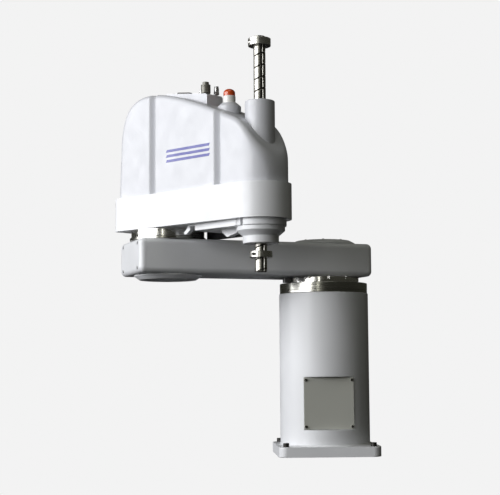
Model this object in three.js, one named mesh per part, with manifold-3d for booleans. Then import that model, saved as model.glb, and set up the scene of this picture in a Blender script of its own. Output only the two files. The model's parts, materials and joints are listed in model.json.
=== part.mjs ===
// A four-axis SCARA robot arm in millimetres, +Z up. The origin is the centre of the base plate's underside
// and the base faces -Y. Each arm is built along +X of its own group, and the group is turned to the arm's
// resting heading.
import * as THREE from "three";
import { mergeVertices } from "three/addons/utils/BufferGeometryUtils.js";
import Module from "manifold-3d";

const wasm = await Module();
wasm.setup();

// ---- Driving dimensions ----
const GAP = 0.3; // clearance between pieces that touch
const OVERCUT = 2; // how far a cutting tool runs past the faces it cuts

const ARM1_LENGTH = 450; // shoulder axis to elbow axis
const ARM2_LENGTH = 350; // elbow axis to shaft axis
const ARM1_HEADING = 197.4; // degrees from +X at rest
const ELBOW_TURN = 114.3; // arm 2 from arm 1 at rest, degrees

// Heights of the joint faces
const PLATE_TOP = 27;
const COLUMN_TOP = 439;
const SHOULDER_CASE_TOP = 467;
const ARM1_BOTTOM = 483.4;
const ARM1_TOP = 573.3;
const ELBOW_CASE_TOP = 581;
const ARM2_BOTTOM = 601;
const RIM_TOP = 689;

// Base
const PLATE_HALF = 137;
const PLATE_CORNER = 22;
const BOLT_HALF_SPACING = 117;
const BOLT_HOLE_RADIUS = 6;
const COLUMN_RADIUS = 123;
const COLUMN_WALL = 12;
const COLUMN_FLOOR = 12;
const TOP_FLANGE = 14;
const PANEL_FLAT = 102.5; // distance of the flats under both panels from the axis
const PANEL_BOTTOM = 70;
const PANEL_TOP = 212;
const PANEL_HALF_WIDTH = 67;
const PANEL_THICKNESS = 3;
const PANEL_CORNER = 3;
const PANEL_SCREW_HALF_SPACING = 62;
const SCREW_HOLE_RADIUS = 2.3;

// Shoulder motor, from its flange down
const J1_FLANGE = { half: 68, thickness: 12, pilotRadius: 50 };
const J1_BODY = { half: 50, length: 130 };
const J1_ENCODER = { half: 42, length: 165 };
const SPINDLE_RADIUS = 10;

// Shoulder and elbow rings and lids
const SHOULDER_CASE_RADIUS = 121;
const SHOULDER_FLANGE_RADIUS = 98;
const ELBOW_CASE_RADIUS = 101;
const ELBOW_FLANGE_RADIUS = 97;
const REDUCER_BORE = 62; // the opening through both reducer cases and the walls they stand on
const SHOULDER_FLANGE_BORE = 45;
const ELBOW_FLANGE_BORE = 30;
const RING_CHAMFER = 1;
const LID_RADIUS = 90;
const LID_FACE_RADIUS = 76;
const SHOULDER_LID_TOP = 586;
const ELBOW_LID_BOTTOM = 470.5;
const LID_OPENING = 74;

// Arm 1 section
const ARM1_HALF_WIDTH = 102;
const ARM1_OVERHANG = 104;
const ARM1_CORNER = 14;
const ARM1_WALL = 8;
const CAP_THICKNESS = 18;
const CAP_BEVEL = 12;
const CAP_SCREW_DEPTH = 3; // how deep the screw heads sit in the cap
const CAP_SCREW_RECESS_RADIUS = 4.6;
const HARNESS_RADIUS = 11;
const CAP_SCREW_HALF_SPACING = [72, 32];

// Arm 2 plan and cover
const ARM2_BACK = 108;
const ARM2_BACK_HALF_WIDTH = 102;
const ARM2_BACK_CORNER = 16;
const NOSE_RADIUS = 77;
const CASTING_WALL = 14;
const CASTING_FLOOR = 12;
const COVER_INSET = 8;
const COVER_WALL = 5;
const COVER_MIDDLE = 150; // the inner side profile is shrunk about this point of the rim
const COVER_GROOVES = [[22, 50], [257, 285]];
const GROOVE_DEPTH = 12;
const GROOVE_LOWEST = 17; // where a groove is deepest, from its edge nearest the elbow
const ABOVE_COVER = 1000; // a height that clears the cover's crown

// Shaft, nuts and their housings
const SHAFT_RADIUS = 15;
const SHAFT_BORE = 9;
const SHAFT_BOTTOM = 472.4;
const SHAFT_TOP = 1063;
const SHAFT_CLEARANCE = 0.5;
const COLLAR_RADIUS = 28.5;
const UPPER_COLLAR = [1038, 1057];
const LOWER_COLLAR = [507, 523];
const TUBE_RADIUS = 37.3;
const TUBE_BORE = 31.5;
const TUBE_BOTTOM = 709;
const TUBE_TOP = 898;
const BOSS_BOTTOM = 541.5;
const BOSS_LOWER_RADIUS = 44.6;
const BOSS_MIDDLE_RADIUS = 60;
const BOSS_UPPER_RADIUS = 64;
const BOSS_CONE = [560, 573, 584]; // heights of the cone's lower end, its upper end and the step above it
const BOSS_NOTCH = { from: 343, to: 353, depth: 7 };
const SPLINE_NUT_RADIUS = 29.7;
const SPLINE_NUT_NECK = 22;
const BALL_NUT_NECK = 24;
const BALL_NUT_HEAD = 27;
const PULLEY_RADIUS = 33;
const PULLEY_FLANGE = 2;
const MOTOR_PULLEY_RADIUS = 16;
const BELT_THICKNESS = 2;
const J4_BELT = [617, 631]; // height band of the rotation belt
const J3_BELT = [643, 657]; // height band of the lift belt
const BALL_NUT_TOP = 705;
const MOTOR_PLACE = 200; // distance of the lift and rotation motors from the elbow axis
const MOTOR_SIDE = 38; // and from the middle of the arm
const MOTOR_HALF = 29;
const MOTOR_SPINDLE = 5;
const BRIDGE = { bottom: 664, top: 672, from: 300, bore: 28 };
const BRIDGE_LEG = { from: 316, to: 360, inner: 50, outer: 58 };

// Hose duct under arm 2, with a skirt on its far side, a strut below it and a hook at its end
const DUCT = { from: 168, to: 332, near: -62, far: 38, corner: 12, depth: 16 };
const SKIRT = { outline: [[72, 75.5], [240, 66.5], [240, 78.5], [58, 88]], depth: 25 };
const LINK_DEPTH = 4;
const STRUT = { near: -20, far: -4, outline: [[226, 586], [232, 578], [250, 565], [300, 577], [300, 586]] };
const HOOK = {
  near: -60,
  far: -48,
  outline: [[144, 600.7], [144, 591], [132, 584], [132, 578], [140, 577.5], [155, 587], [155, 600.7]],
};

// Top of arm 2
const USER_PANEL = { from: 20, to: 186, half: 28, rearTop: 966, frontTop: 941 };
const SWITCH_PLACE = [160, -8];
const SWITCH_TOP = 970;
const SWITCH_RADIUS = 12.5;
const BUTTON_RADIUS = 8.6;
const BUTTON_DEPTH = 8; // how far the button reaches into the switch, and stands out of it
const USER_SOCKET_PLACE = 68;
const USER_FITTINGS = [[176, 15, 22], [120, 15, 14]]; // along the arm, across it, and height
const LAMP_PLACE = [240, 0];
const LAMP_FOOT = 865;
const LAMP_SEAT = 910;

// Facets round a circle
const SIDES = { large: 32, medium: 22, small: 16, screw: 10, hole: 6 };

// ---- Finishes ----
const finish = (color, roughness, metalness) =>
  new THREE.MeshStandardMaterial({ color, roughness, metalness });
const PAINT = finish("#e6e8ee", 0.28, 0);
const PAINT_SHADE = finish("#d8dade", 0.35, 0);
const STEEL = finish("#b9b8b0", 0.22, 1);
const BRIGHT_STEEL = finish("#cfcfca", 0.15, 1);
const ALUMINIUM = finish("#b4b6b8", 0.4, 1);
const BLACK_OXIDE = finish("#2c2b29", 0.5, 0.8);
const BLACK_PLASTIC = finish("#1d1d1e", 0.5, 0);
const RUBBER = finish("#191919", 0.8, 0);
const LAMP_AMBER = finish("#d6431b", 0.25, 0);
const LAMP_WHITE = finish("#efeee8", 0.35, 0);

// ---- Solid helpers ----
const radians = THREE.MathUtils.degToRad;

// A closed three.js geometry as a solid that can be joined and cut.
function solid(geometry) {
  geometry.deleteAttribute("normal");
  geometry.deleteAttribute("uv");
  const merged = mergeVertices(geometry, 1e-4);
  return new wasm.Manifold(
    new wasm.Mesh({
      numProp: 3,
      vertProperties: merged.attributes.position.array,
      triVerts: new Uint32Array(merged.index.array),
    }),
  );
}

function geometryOf(manifold) {
  const mesh = manifold.getMesh();
  const geometry = new THREE.BufferGeometry();
  geometry.setAttribute("position", new THREE.BufferAttribute(new Float32Array(mesh.vertProperties), 3));
  geometry.setIndex(new THREE.BufferAttribute(new Uint32Array(mesh.triVerts), 1));
  geometry.computeVertexNormals();
  return geometry;
}

// An upright cylinder, or a prism with few sides.
function disc(radius, bottom, top, { at = [0, 0], sides = SIDES.medium } = {}) {
  const geometry = new THREE.CylinderGeometry(radius, radius, top - bottom, sides);
  geometry.rotateX(Math.PI / 2);
  geometry.translate(at[0], at[1], (top + bottom) / 2);
  return solid(geometry);
}

const ring = (outer, inner, bottom, top, options) =>
  disc(outer, bottom, top, options).subtract(disc(inner, bottom - OVERCUT, top + OVERCUT, options));

// A box between two opposite corners.
function block(low, high) {
  const size = low.map((value, axis) => high[axis] - value);
  const geometry = new THREE.BoxGeometry(...size);
  geometry.translate(...low.map((value, axis) => value + size[axis] / 2));
  return solid(geometry);
}

// A body turned about the upright axis from a closed outline of [radius, height] points.
function turned(outline, { at = [0, 0], sides = SIDES.medium } = {}) {
  const geometry = new THREE.LatheGeometry(outline.map(([r, z]) => new THREE.Vector2(r, z)), sides);
  geometry.rotateX(Math.PI / 2);
  geometry.translate(at[0], at[1], 0);
  return solid(geometry);
}

// A plan shape raised between two heights.
function prism(shape, bottom, top, curveSegments = 8) {
  const depth = top - bottom;
  const geometry = new THREE.ExtrudeGeometry(shape, { depth, bevelEnabled: false, curveSegments });
  geometry.translate(0, 0, bottom);
  return solid(geometry);
}

// A rectangle with round corners, centred on (x, y).
function roundedRectangle(halfWidth, halfHeight, corner, x = 0, y = 0) {
  const shape = new THREE.Shape();
  const middleX = halfWidth - corner;
  const middleY = halfHeight - corner;
  shape.absarc(x + middleX, y + middleY, corner, 0, Math.PI / 2);
  shape.absarc(x - middleX, y + middleY, corner, Math.PI / 2, Math.PI);
  shape.absarc(x - middleX, y - middleY, corner, Math.PI, Math.PI * 1.5);
  shape.absarc(x + middleX, y - middleY, corner, Math.PI * 1.5, Math.PI * 2);
  return shape;
}

// Turns a geometry built on (X, Y) and raised along Z so that it runs along X: X becomes Y and Y becomes Z.
function alongX(geometry) {
  const turn = new THREE.Matrix4().makeBasis(
    new THREE.Vector3(0, 1, 0),
    new THREE.Vector3(0, 0, 1),
    new THREE.Vector3(1, 0, 0),
  );
  return geometry.applyMatrix4(turn);
}

// The same for a side profile of (X, Z) points, raised across the arm along Y and centred on it.
function acrossArm(shape, halfWidth, curveSegments = 8) {
  const depth = halfWidth * 2;
  const geometry = new THREE.ExtrudeGeometry(shape, { depth, bevelEnabled: false, curveSegments });
  geometry.rotateX(Math.PI / 2);
  geometry.translate(0, halfWidth, 0);
  return solid(geometry);
}

// A bar between two distances across the arm, from its outline of (X, Z) points.
function sideBar({ near, far, outline }) {
  const shape = new THREE.Shape(outline.map(([x, z]) => new THREE.Vector2(x, z)));
  const geometry = new THREE.ExtrudeGeometry(shape, { depth: far - near, bevelEnabled: false });
  geometry.rotateX(Math.PI / 2);
  geometry.translate(0, far, 0);
  return solid(geometry);
}

// Adds a solid to a group as a named piece, and returns its mesh so that it can be placed.
function piece(group, name, body, material, position = [0, 0, 0]) {
  const mesh = new THREE.Mesh(geometryOf(body), material);
  mesh.name = name;
  mesh.position.set(...position);
  group.add(mesh);
  return mesh;
}

// A socket-head screw: its head stands on z = 0 and its shank hangs below.
function socketScrew(headRadius, headHeight, shankRadius, shankLength) {
  const head = disc(headRadius, 0, headHeight, { sides: SIDES.screw });
  const shank = disc(shankRadius, -shankLength, 1, { sides: SIDES.hole });
  const socket = disc(headRadius * 0.55, headHeight * 0.45, headHeight + OVERCUT, { sides: 6 });
  return head.add(shank).subtract(socket);
}

const CORNERS = [[-1, -1], [1, -1], [1, 1], [-1, 1]];

// ---- Base ----
const PANEL_MIDDLE = (PANEL_BOTTOM + PANEL_TOP) / 2;

function baseCasting() {
  const plate = prism(roundedRectangle(PLATE_HALF, PLATE_HALF, PLATE_CORNER), 0, PLATE_TOP);
  const column = disc(COLUMN_RADIUS, PLATE_TOP - OVERCUT, COLUMN_TOP, { sides: SIDES.large });
  const cavity = disc(COLUMN_RADIUS - COLUMN_WALL, COLUMN_FLOOR, COLUMN_TOP - TOP_FLANGE, {
    sides: SIDES.large,
  });
  const motorHole = disc(REDUCER_BORE, COLUMN_TOP - TOP_FLANGE - OVERCUT, COLUMN_TOP + OVERCUT);
  let body = plate.add(column).subtract(cavity).subtract(motorHole);
  for (const side of [-1, 1]) {
    body = addPanelSeat(body, side);
  }
  for (const [x, y] of CORNERS) {
    const at = [x * BOLT_HALF_SPACING, y * BOLT_HALF_SPACING];
    body = body.subtract(disc(BOLT_HOLE_RADIUS, -OVERCUT, PLATE_TOP + OVERCUT, { at, sides: SIDES.screw }));
  }
  return body;
}

// A flat with an access window and four screw holes, at the front (side -1) or the back (side 1).
function addPanelSeat(body, side) {
  const across = (near, far, half, bottom, top) =>
    block(
      [-half, Math.min(side * near, side * far), bottom],
      [half, Math.max(side * near, side * far), top],
    );
  const margin = 10;
  const seatDepth = 9;
  const border = 18;
  const backing = across(
    PANEL_FLAT - seatDepth,
    COLUMN_RADIUS,
    PANEL_HALF_WIDTH + 6,
    PANEL_BOTTOM - margin,
    PANEL_TOP + margin,
  ).intersect(disc(COLUMN_RADIUS - 1, 0, COLUMN_TOP, { sides: SIDES.large }));
  const recess = across(PANEL_FLAT, COLUMN_RADIUS + OVERCUT, PANEL_HALF_WIDTH + 1.5, PANEL_BOTTOM, PANEL_TOP);
  const window = across(
    PANEL_FLAT - seatDepth * 2,
    PANEL_FLAT + OVERCUT,
    PANEL_HALF_WIDTH - border,
    PANEL_BOTTOM + border,
    PANEL_TOP - border,
  );
  let seated = body.add(backing).subtract(recess).subtract(window);
  for (const [x, z] of CORNERS) {
    const geometry = geometryOf(disc(SCREW_HOLE_RADIUS, -OVERCUT, seatDepth - 0.5, { sides: SIDES.hole }));
    geometry.rotateX(side * Math.PI / 2);
    geometry.translate(
      x * PANEL_SCREW_HALF_SPACING,
      side * PANEL_FLAT,
      PANEL_MIDDLE + z * PANEL_SCREW_HALF_SPACING,
    );
    seated = seated.subtract(solid(geometry));
  }
  return seated;
}

// A plate with rounded corners that stands in a panel seat, built lying flat with its back on z = 0.
function panelPlate() {
  const halfHeight = (PANEL_TOP - PANEL_BOTTOM) / 2 - 1.5;
  let plate = prism(roundedRectangle(PANEL_HALF_WIDTH, halfHeight, PANEL_CORNER), 0, PANEL_THICKNESS, 3);
  for (const [x, y] of CORNERS) {
    const at = [x * PANEL_SCREW_HALF_SPACING, y * PANEL_SCREW_HALF_SPACING];
    const hole = disc(SCREW_HOLE_RADIUS, -OVERCUT, PANEL_THICKNESS + OVERCUT, { at, sides: SIDES.hole });
    plate = plate.subtract(hole);
  }
  return plate;
}

// Faces a piece that was built lying flat to the front or the back of the base.
function facePanel(mesh, side, x, z, standOff) {
  mesh.rotation.x = side < 0 ? Math.PI / 2 : -Math.PI / 2;
  mesh.position.set(x, side * (PANEL_FLAT + standOff), PANEL_MIDDLE + z);
}

function addBase(robot) {
  piece(robot, "base_casting", baseCasting(), PAINT);

  facePanel(piece(robot, "front_cover_plate", panelPlate(), PAINT_SHADE), -1, 0, 0, GAP);
  const panelScrew = socketScrew(4, 2.6, 1.9, 9);
  CORNERS.forEach(([x, z], index) => {
    const screw = piece(robot, `front_cover_screw_${index + 1}`, panelScrew, STEEL);
    const standOff = PANEL_THICKNESS + 2 * GAP;
    facePanel(screw, -1, x * PANEL_SCREW_HALF_SPACING, z * PANEL_SCREW_HALF_SPACING, standOff);
  });

  facePanel(piece(robot, "rear_connector_panel", panelPlate(), PAINT_SHADE), 1, 0, 0, GAP);
  addRearConnectors(robot);

  const bolt = socketScrew(8, 10, 5, PLATE_TOP - 3);
  CORNERS.forEach(([x, y], index) => {
    const position = [x * BOLT_HALF_SPACING, y * BOLT_HALF_SPACING, PLATE_TOP + GAP];
    piece(robot, `mounting_bolt_${index + 1}`, bolt, BLACK_OXIDE, position);
  });

  piece(robot, "j1_motor", j1Motor(), BLACK_OXIDE);
  const caseBottom = COLUMN_TOP + GAP;
  const caseRing = turned([
    [REDUCER_BORE, caseBottom],
    [SHOULDER_CASE_RADIUS - RING_CHAMFER, caseBottom],
    [SHOULDER_CASE_RADIUS, caseBottom + RING_CHAMFER],
    [SHOULDER_CASE_RADIUS, SHOULDER_CASE_TOP - RING_CHAMFER],
    [SHOULDER_CASE_RADIUS - RING_CHAMFER, SHOULDER_CASE_TOP],
    [REDUCER_BORE, SHOULDER_CASE_TOP],
    [REDUCER_BORE, caseBottom],
  ], { sides: SIDES.large });
  piece(robot, "j1_reducer_case", caseRing, STEEL);
}

// The sockets on the rear panel, each lying flat until it is faced to the back.
function addRearConnectors(robot) {
  const standOff = PANEL_THICKNESS + 2 * GAP;
  const shell = (halfWidth, halfHeight, depth, corner) =>
    prism(roundedRectangle(halfWidth, halfHeight, corner), 0, depth, 3)
      .subtract(prism(roundedRectangle(halfWidth - 3, halfHeight - 3, corner * 0.6), 4, depth + OVERCUT, 3));
  facePanel(piece(robot, "power_connector", shell(28, 14, 20, 4), BLACK_PLASTIC), 1, 22, -30, standOff);
  facePanel(piece(robot, "signal_connector", shell(23, 12, 16, 4), BLACK_PLASTIC), 1, 22, 6, standOff);
  facePanel(piece(robot, "rear_air_fitting", airFitting(6.5, 18), BLACK_PLASTIC), 1, -36, -30, standOff);
}

// A push-in fitting for an air hose: a hexagonal foot and a round release collar, open at the top.
function airFitting(radius, height) {
  const foot = disc(radius * 1.12, 0, height * 0.4, { sides: 6 });
  const sleeve = disc(radius, height * 0.4 - 1, height, { sides: SIDES.screw });
  const socket = disc(radius * 0.5, height * 0.3, height + OVERCUT, { sides: SIDES.hole });
  return foot.add(sleeve).subtract(socket);
}

// The shoulder motor hangs under the column's top flange, on the shoulder axis.
function j1Motor() {
  const top = COLUMN_TOP - TOP_FLANGE - GAP;
  const overlap = 1;
  const pilotTop = top + 10;
  const square = (half, from, to) => prism(roundedRectangle(half, half, half / 5), from, to, 3);
  const flange = square(J1_FLANGE.half, top - J1_FLANGE.thickness, top);
  const pilot = disc(J1_FLANGE.pilotRadius, top - OVERCUT, pilotTop);
  const body = square(J1_BODY.half, top - J1_BODY.length, top - J1_FLANGE.thickness + overlap);
  const encoder = square(J1_ENCODER.half, top - J1_ENCODER.length, top - J1_BODY.length + overlap);
  const spindle = disc(SPINDLE_RADIUS, pilotTop - overlap, SHOULDER_CASE_TOP - 8, { sides: SIDES.screw });
  return flange.add(pilot).add(body).add(encoder).add(spindle);
}

// ---- Arm 1 ----
const ARM1_MIDDLE = (ARM1_BOTTOM + ARM1_TOP) / 2;
const ARM1_HALF_HEIGHT = (ARM1_TOP - ARM1_BOTTOM) / 2;

// A stretch of the arm's rounded section, moved inwards by inset.
function arm1Section(from, to, inset = 0) {
  const shape = roundedRectangle(
    ARM1_HALF_WIDTH - inset,
    ARM1_HALF_HEIGHT - inset,
    Math.max(ARM1_CORNER - inset, 5),
    0,
    ARM1_MIDDLE,
  );
  const depth = to - from;
  const geometry = new THREE.ExtrudeGeometry(shape, { depth, bevelEnabled: false, curveSegments: 3 });
  geometry.translate(0, 0, from);
  return solid(alongX(geometry));
}

function arm1Housing() {
  const from = -ARM1_OVERHANG + CAP_THICKNESS;
  const to = ARM1_LENGTH + ARM1_OVERHANG - CAP_THICKNESS;
  const shell = arm1Section(from, to).subtract(arm1Section(from - OVERCUT, to + OVERCUT, ARM1_WALL));
  const elbow = [ARM1_LENGTH, 0];
  const roof = [ARM1_TOP - ARM1_WALL - OVERCUT, ARM1_TOP + OVERCUT];
  const floor = [ARM1_BOTTOM - OVERCUT, ARM1_BOTTOM + ARM1_WALL + OVERCUT];
  return shell
    .subtract(disc(LID_OPENING, ...roof))
    .subtract(disc(SHOULDER_FLANGE_BORE, ...floor))
    .subtract(disc(REDUCER_BORE, ...roof, { at: elbow }))
    .subtract(disc(LID_OPENING, ...floor, { at: elbow }));
}

// An end cap with a bevelled outer edge and four screw holes, built facing +Z with its back on z = 0.
function arm1Cap() {
  const shape = roundedRectangle(
    ARM1_HALF_WIDTH - CAP_BEVEL,
    ARM1_HALF_HEIGHT - CAP_BEVEL,
    ARM1_CORNER - CAP_BEVEL,
  );
  const geometry = new THREE.ExtrudeGeometry(shape, {
    depth: CAP_THICKNESS,
    bevelThickness: CAP_BEVEL,
    bevelSize: CAP_BEVEL,
    bevelSegments: 2,
    curveSegments: 2,
  });
  geometry.translate(0, 0, -CAP_BEVEL);
  const margin = ARM1_HALF_WIDTH + OVERCUT;
  let cap = solid(geometry).intersect(block([-margin, -margin, 0], [margin, margin, CAP_THICKNESS]));
  const [halfX, halfY] = CAP_SCREW_HALF_SPACING;
  for (const [x, y] of CORNERS) {
    const at = [x * halfX, y * halfY];
    cap = cap
      .subtract(disc(SCREW_HOLE_RADIUS, -OVERCUT, CAP_THICKNESS + OVERCUT, { at, sides: SIDES.hole }))
      .subtract(disc(CAP_SCREW_RECESS_RADIUS, CAP_THICKNESS - CAP_SCREW_DEPTH - 1, CAP_THICKNESS + OVERCUT, {
        at,
        sides: SIDES.screw,
      }));
  }
  return cap;
}

// A round lid with a sloping edge that closes an opening of arm 1, from its seat to its face.
const lid = (seat, face, at) =>
  turned([
    [0, seat],
    [LID_RADIUS, seat],
    [LID_RADIUS, seat + (face - seat) * 0.35],
    [LID_FACE_RADIUS, face],
    [0, face],
  ], { at });

function addArm1(robot, shoulder) {
  const flangeHeights = [SHOULDER_CASE_TOP + GAP, ARM1_BOTTOM - GAP];
  const flange = ring(SHOULDER_FLANGE_RADIUS, SHOULDER_FLANGE_BORE, ...flangeHeights, { sides: SIDES.large });
  piece(shoulder, "j1_output_flange", flange, BRIGHT_STEEL);
  piece(shoulder, "j1_stop_block", stopBlock(), ALUMINIUM);
  piece(shoulder, "arm1_housing", arm1Housing(), PAINT);

  const ends = [
    { name: "shoulder", x: -ARM1_OVERHANG + CAP_THICKNESS - GAP, turn: -Math.PI / 2 },
    { name: "elbow", x: ARM1_LENGTH + ARM1_OVERHANG - CAP_THICKNESS + GAP, turn: Math.PI / 2 },
  ];
  const cap = arm1Cap();
  for (const { name, x, turn } of ends) {
    const mesh = piece(shoulder, `arm1_${name}_cap`, cap, PAINT, [x, 0, ARM1_MIDDLE]);
    mesh.rotation.set(Math.PI / 2, 0, turn, "ZYX");
  }
  const capScrew = socketScrew(3.9, 2.8, 1.9, CAP_THICKNESS - 5);
  const [halfY, halfZ] = CAP_SCREW_HALF_SPACING;
  CORNERS.forEach(([y, z], index) => {
    const x = ARM1_LENGTH + ARM1_OVERHANG - CAP_SCREW_DEPTH - 1 + 2 * GAP;
    const position = [x, y * halfY, ARM1_MIDDLE + z * halfZ];
    const screw = piece(shoulder, `elbow_cap_screw_${index + 1}`, capScrew, STEEL, position);
    screw.rotation.y = Math.PI / 2;
  });

  piece(shoulder, "j1_top_lid", lid(ARM1_TOP + GAP, SHOULDER_LID_TOP, [0, 0]), PAINT);
  const lidSeat = ARM1_BOTTOM - GAP;
  const elbowLid = turned([
    [0, ELBOW_LID_BOTTOM],
    [LID_FACE_RADIUS, ELBOW_LID_BOTTOM],
    [LID_RADIUS, lidSeat - 3],
    [LID_RADIUS, lidSeat],
    [0, lidSeat],
  ], { at: [ARM1_LENGTH, 0] });
  piece(shoulder, "j2_bottom_lid", elbowLid, PAINT);
  piece(shoulder, "arm1_harness", arm1Harness(), RUBBER);
  const elbowCase = ring(ELBOW_CASE_RADIUS, REDUCER_BORE, ARM1_TOP + GAP, ELBOW_CASE_TOP, {
    at: [ARM1_LENGTH, 0],
    sides: SIDES.large,
  });
  piece(shoulder, "j2_reducer_case", elbowCase, STEEL);
  robot.add(shoulder);
}

// The stop that limits the shoulder's turn hangs beside the output flange.
function stopBlock() {
  const inner = SHOULDER_FLANGE_RADIUS + 3;
  const outer = SHOULDER_CASE_RADIUS - 2;
  const half = 7;
  return block([inner, -half, SHOULDER_CASE_TOP + 2], [outer, half, ARM1_BOTTOM - GAP]);
}

// The wiring loom inside arm 1, from the hollow shoulder to the hollow elbow.
function arm1Harness() {
  const route = new THREE.CatmullRomCurve3([
    new THREE.Vector3(0, 0, ARM1_BOTTOM + 14),
    new THREE.Vector3(8, 0, ARM1_MIDDLE - 12),
    new THREE.Vector3(60, 0, ARM1_MIDDLE),
    new THREE.Vector3(ARM1_LENGTH / 2, 0, ARM1_MIDDLE - 6),
    new THREE.Vector3(ARM1_LENGTH - 60, 0, ARM1_MIDDLE),
    new THREE.Vector3(ARM1_LENGTH - 8, 0, ARM1_MIDDLE + 10),
    new THREE.Vector3(ARM1_LENGTH, 0, ARM1_TOP - 14),
  ]);
  const section = new THREE.Shape();
  section.absarc(0, 0, HARNESS_RADIUS, 0, Math.PI * 2);
  return solid(new THREE.ExtrudeGeometry(section, { steps: 16, extrudePath: route, curveSegments: 8 }));
}

// ---- Arm 2 ----
// The side of the plan leans in by this angle to meet the nose.
const SIDE_LEAN = (() => {
  const length = ARM2_LENGTH + ARM2_BACK;
  const reach = Math.hypot(length, ARM2_BACK_HALF_WIDTH);
  return Math.acos(NOSE_RADIUS / reach) - Math.atan2(length, ARM2_BACK_HALF_WIDTH);
})();

// Half the plan's width at a distance along the arm.
function sideAt(along, inset) {
  const offset = ARM2_LENGTH * Math.sin(SIDE_LEAN) + NOSE_RADIUS - inset;
  return (offset - along * Math.sin(SIDE_LEAN)) / Math.cos(SIDE_LEAN);
}

// The plan outline, moved inwards by inset: a square back with round corners, leaning sides and a round nose.
function arm2Plan(inset) {
  const back = -ARM2_BACK + inset;
  const corner = Math.max(ARM2_BACK_CORNER - inset, 4);
  const backHalf = sideAt(back, inset);
  const sideStart = sideAt(back + corner, inset);
  const nose = NOSE_RADIUS - inset;
  const sweep = Math.PI / 2 - SIDE_LEAN;
  const shape = new THREE.Shape();
  shape.moveTo(back, backHalf - corner);
  shape.lineTo(back, corner - backHalf);
  shape.quadraticCurveTo(back, -backHalf, back + corner, -sideStart);
  shape.absarc(ARM2_LENGTH, 0, nose, -sweep, sweep);
  shape.lineTo(back + corner, sideStart);
  shape.quadraticCurveTo(back, backHalf, back, backHalf - corner);
  return shape;
}

// The crown seen from the side, shrunk about the middle of the rim to make the inside.
function crownProfile(shrink = 1) {
  const at = (along, height) => [
    COVER_MIDDLE + (along - COVER_MIDDLE) * shrink,
    RIM_TOP + (height - RIM_TOP) * shrink,
  ];
  const shape = new THREE.Shape();
  shape.moveTo(...at(-97, RIM_TOP - 12));
  shape.lineTo(...at(422, RIM_TOP - 12));
  shape.lineTo(...at(420, RIM_TOP));
  shape.bezierCurveTo(...at(420, 725), ...at(410, 755), ...at(398, 772));
  shape.bezierCurveTo(...at(370, 811), ...at(353, 843), ...at(321, 857));
  shape.bezierCurveTo(...at(205, 908), ...at(50, 975), ...at(-25, 948));
  shape.bezierCurveTo(...at(-62, 935), ...at(-86, 905), ...at(-90, 830));
  return shape;
}

// The cover's outside, raised by lift so that pieces that stand on it can be cut to its curve.
function coverOutside(lift = 0) {
  const crown = acrossArm(crownProfile(), ARM2_BACK_HALF_WIDTH + OVERCUT);
  const outside = prism(arm2Plan(COVER_INSET), RIM_TOP + GAP, ABOVE_COVER).intersect(crown);
  const geometry = geometryOf(outside);
  geometry.translate(0, 0, lift);
  return solid(geometry);
}

const SHAFT_PLACE = [ARM2_LENGTH, 0];

// The space of a groove with two slopes in the cover's wall, grown by margin.
function coverGroove([from, to], side, margin) {
  const face = sideAt((from + to) / 2, COVER_INSET);
  const lowest = face - GROOVE_DEPTH - margin;
  const beyond = face + 2 * GROOVE_DEPTH;
  const shape = new THREE.Shape();
  shape.moveTo(from - margin, side * beyond);
  shape.lineTo(from - margin, side * face);
  shape.lineTo(from + GROOVE_LOWEST, side * lowest);
  shape.lineTo(to + margin, side * face);
  shape.lineTo(to + margin, side * beyond);
  return prism(shape, RIM_TOP - 2 * OVERCUT, ABOVE_COVER + OVERCUT);
}

function arm2Cover() {
  const inset = COVER_INSET + COVER_WALL;
  const shrink = 1 - COVER_WALL / (ARM2_BACK + COVER_MIDDLE - COVER_INSET);
  let outside = coverOutside();
  let inside = prism(arm2Plan(inset), RIM_TOP - OVERCUT, ABOVE_COVER)
    .intersect(acrossArm(crownProfile(shrink), ARM2_BACK_HALF_WIDTH));
  for (const groove of COVER_GROOVES) {
    for (const side of [-1, 1]) {
      outside = outside.subtract(coverGroove(groove, side, 0));
      inside = inside.subtract(coverGroove(groove, side, COVER_WALL));
    }
  }
  const tubeHole = disc(TUBE_RADIUS + GAP, RIM_TOP, ABOVE_COVER, { at: SHAFT_PLACE });
  return outside.subtract(inside).subtract(tubeHole);
}

function arm2Casting() {
  const floorTop = ARM2_BOTTOM + CASTING_FLOOR;
  const tray = prism(arm2Plan(0), ARM2_BOTTOM, RIM_TOP)
    .subtract(prism(arm2Plan(CASTING_WALL), floorTop, RIM_TOP + OVERCUT));
  const [coneBottom, coneTop, stepBottom] = BOSS_CONE;
  const boss = turned([
    [0, BOSS_BOTTOM],
    [BOSS_LOWER_RADIUS - 1.5, BOSS_BOTTOM],
    [BOSS_LOWER_RADIUS, BOSS_BOTTOM + 1.5],
    [BOSS_LOWER_RADIUS, coneBottom],
    [BOSS_MIDDLE_RADIUS, coneTop],
    [BOSS_MIDDLE_RADIUS, stepBottom],
    [BOSS_UPPER_RADIUS, stepBottom],
    [BOSS_UPPER_RADIUS, ARM2_BOTTOM + OVERCUT],
    [0, ARM2_BOTTOM + OVERCUT],
  ], { at: SHAFT_PLACE, sides: SIDES.large });
  const notch = block(
    [BOSS_NOTCH.from, -BOSS_UPPER_RADIUS - OVERCUT, stepBottom],
    [BOSS_NOTCH.to, -BOSS_UPPER_RADIUS + BOSS_NOTCH.depth, ARM2_BOTTOM],
  );
  return tray
    .add(boss.subtract(notch))
    .subtract(disc(SPLINE_NUT_RADIUS + 1, BOSS_BOTTOM + 5, floorTop + OVERCUT, { at: SHAFT_PLACE }))
    .subtract(disc(SHAFT_RADIUS + 2, BOSS_BOTTOM - OVERCUT, BOSS_BOTTOM + 6, { at: SHAFT_PLACE }))
    .subtract(disc(ELBOW_FLANGE_BORE, ARM2_BOTTOM - OVERCUT, floorTop + OVERCUT));
}

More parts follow.
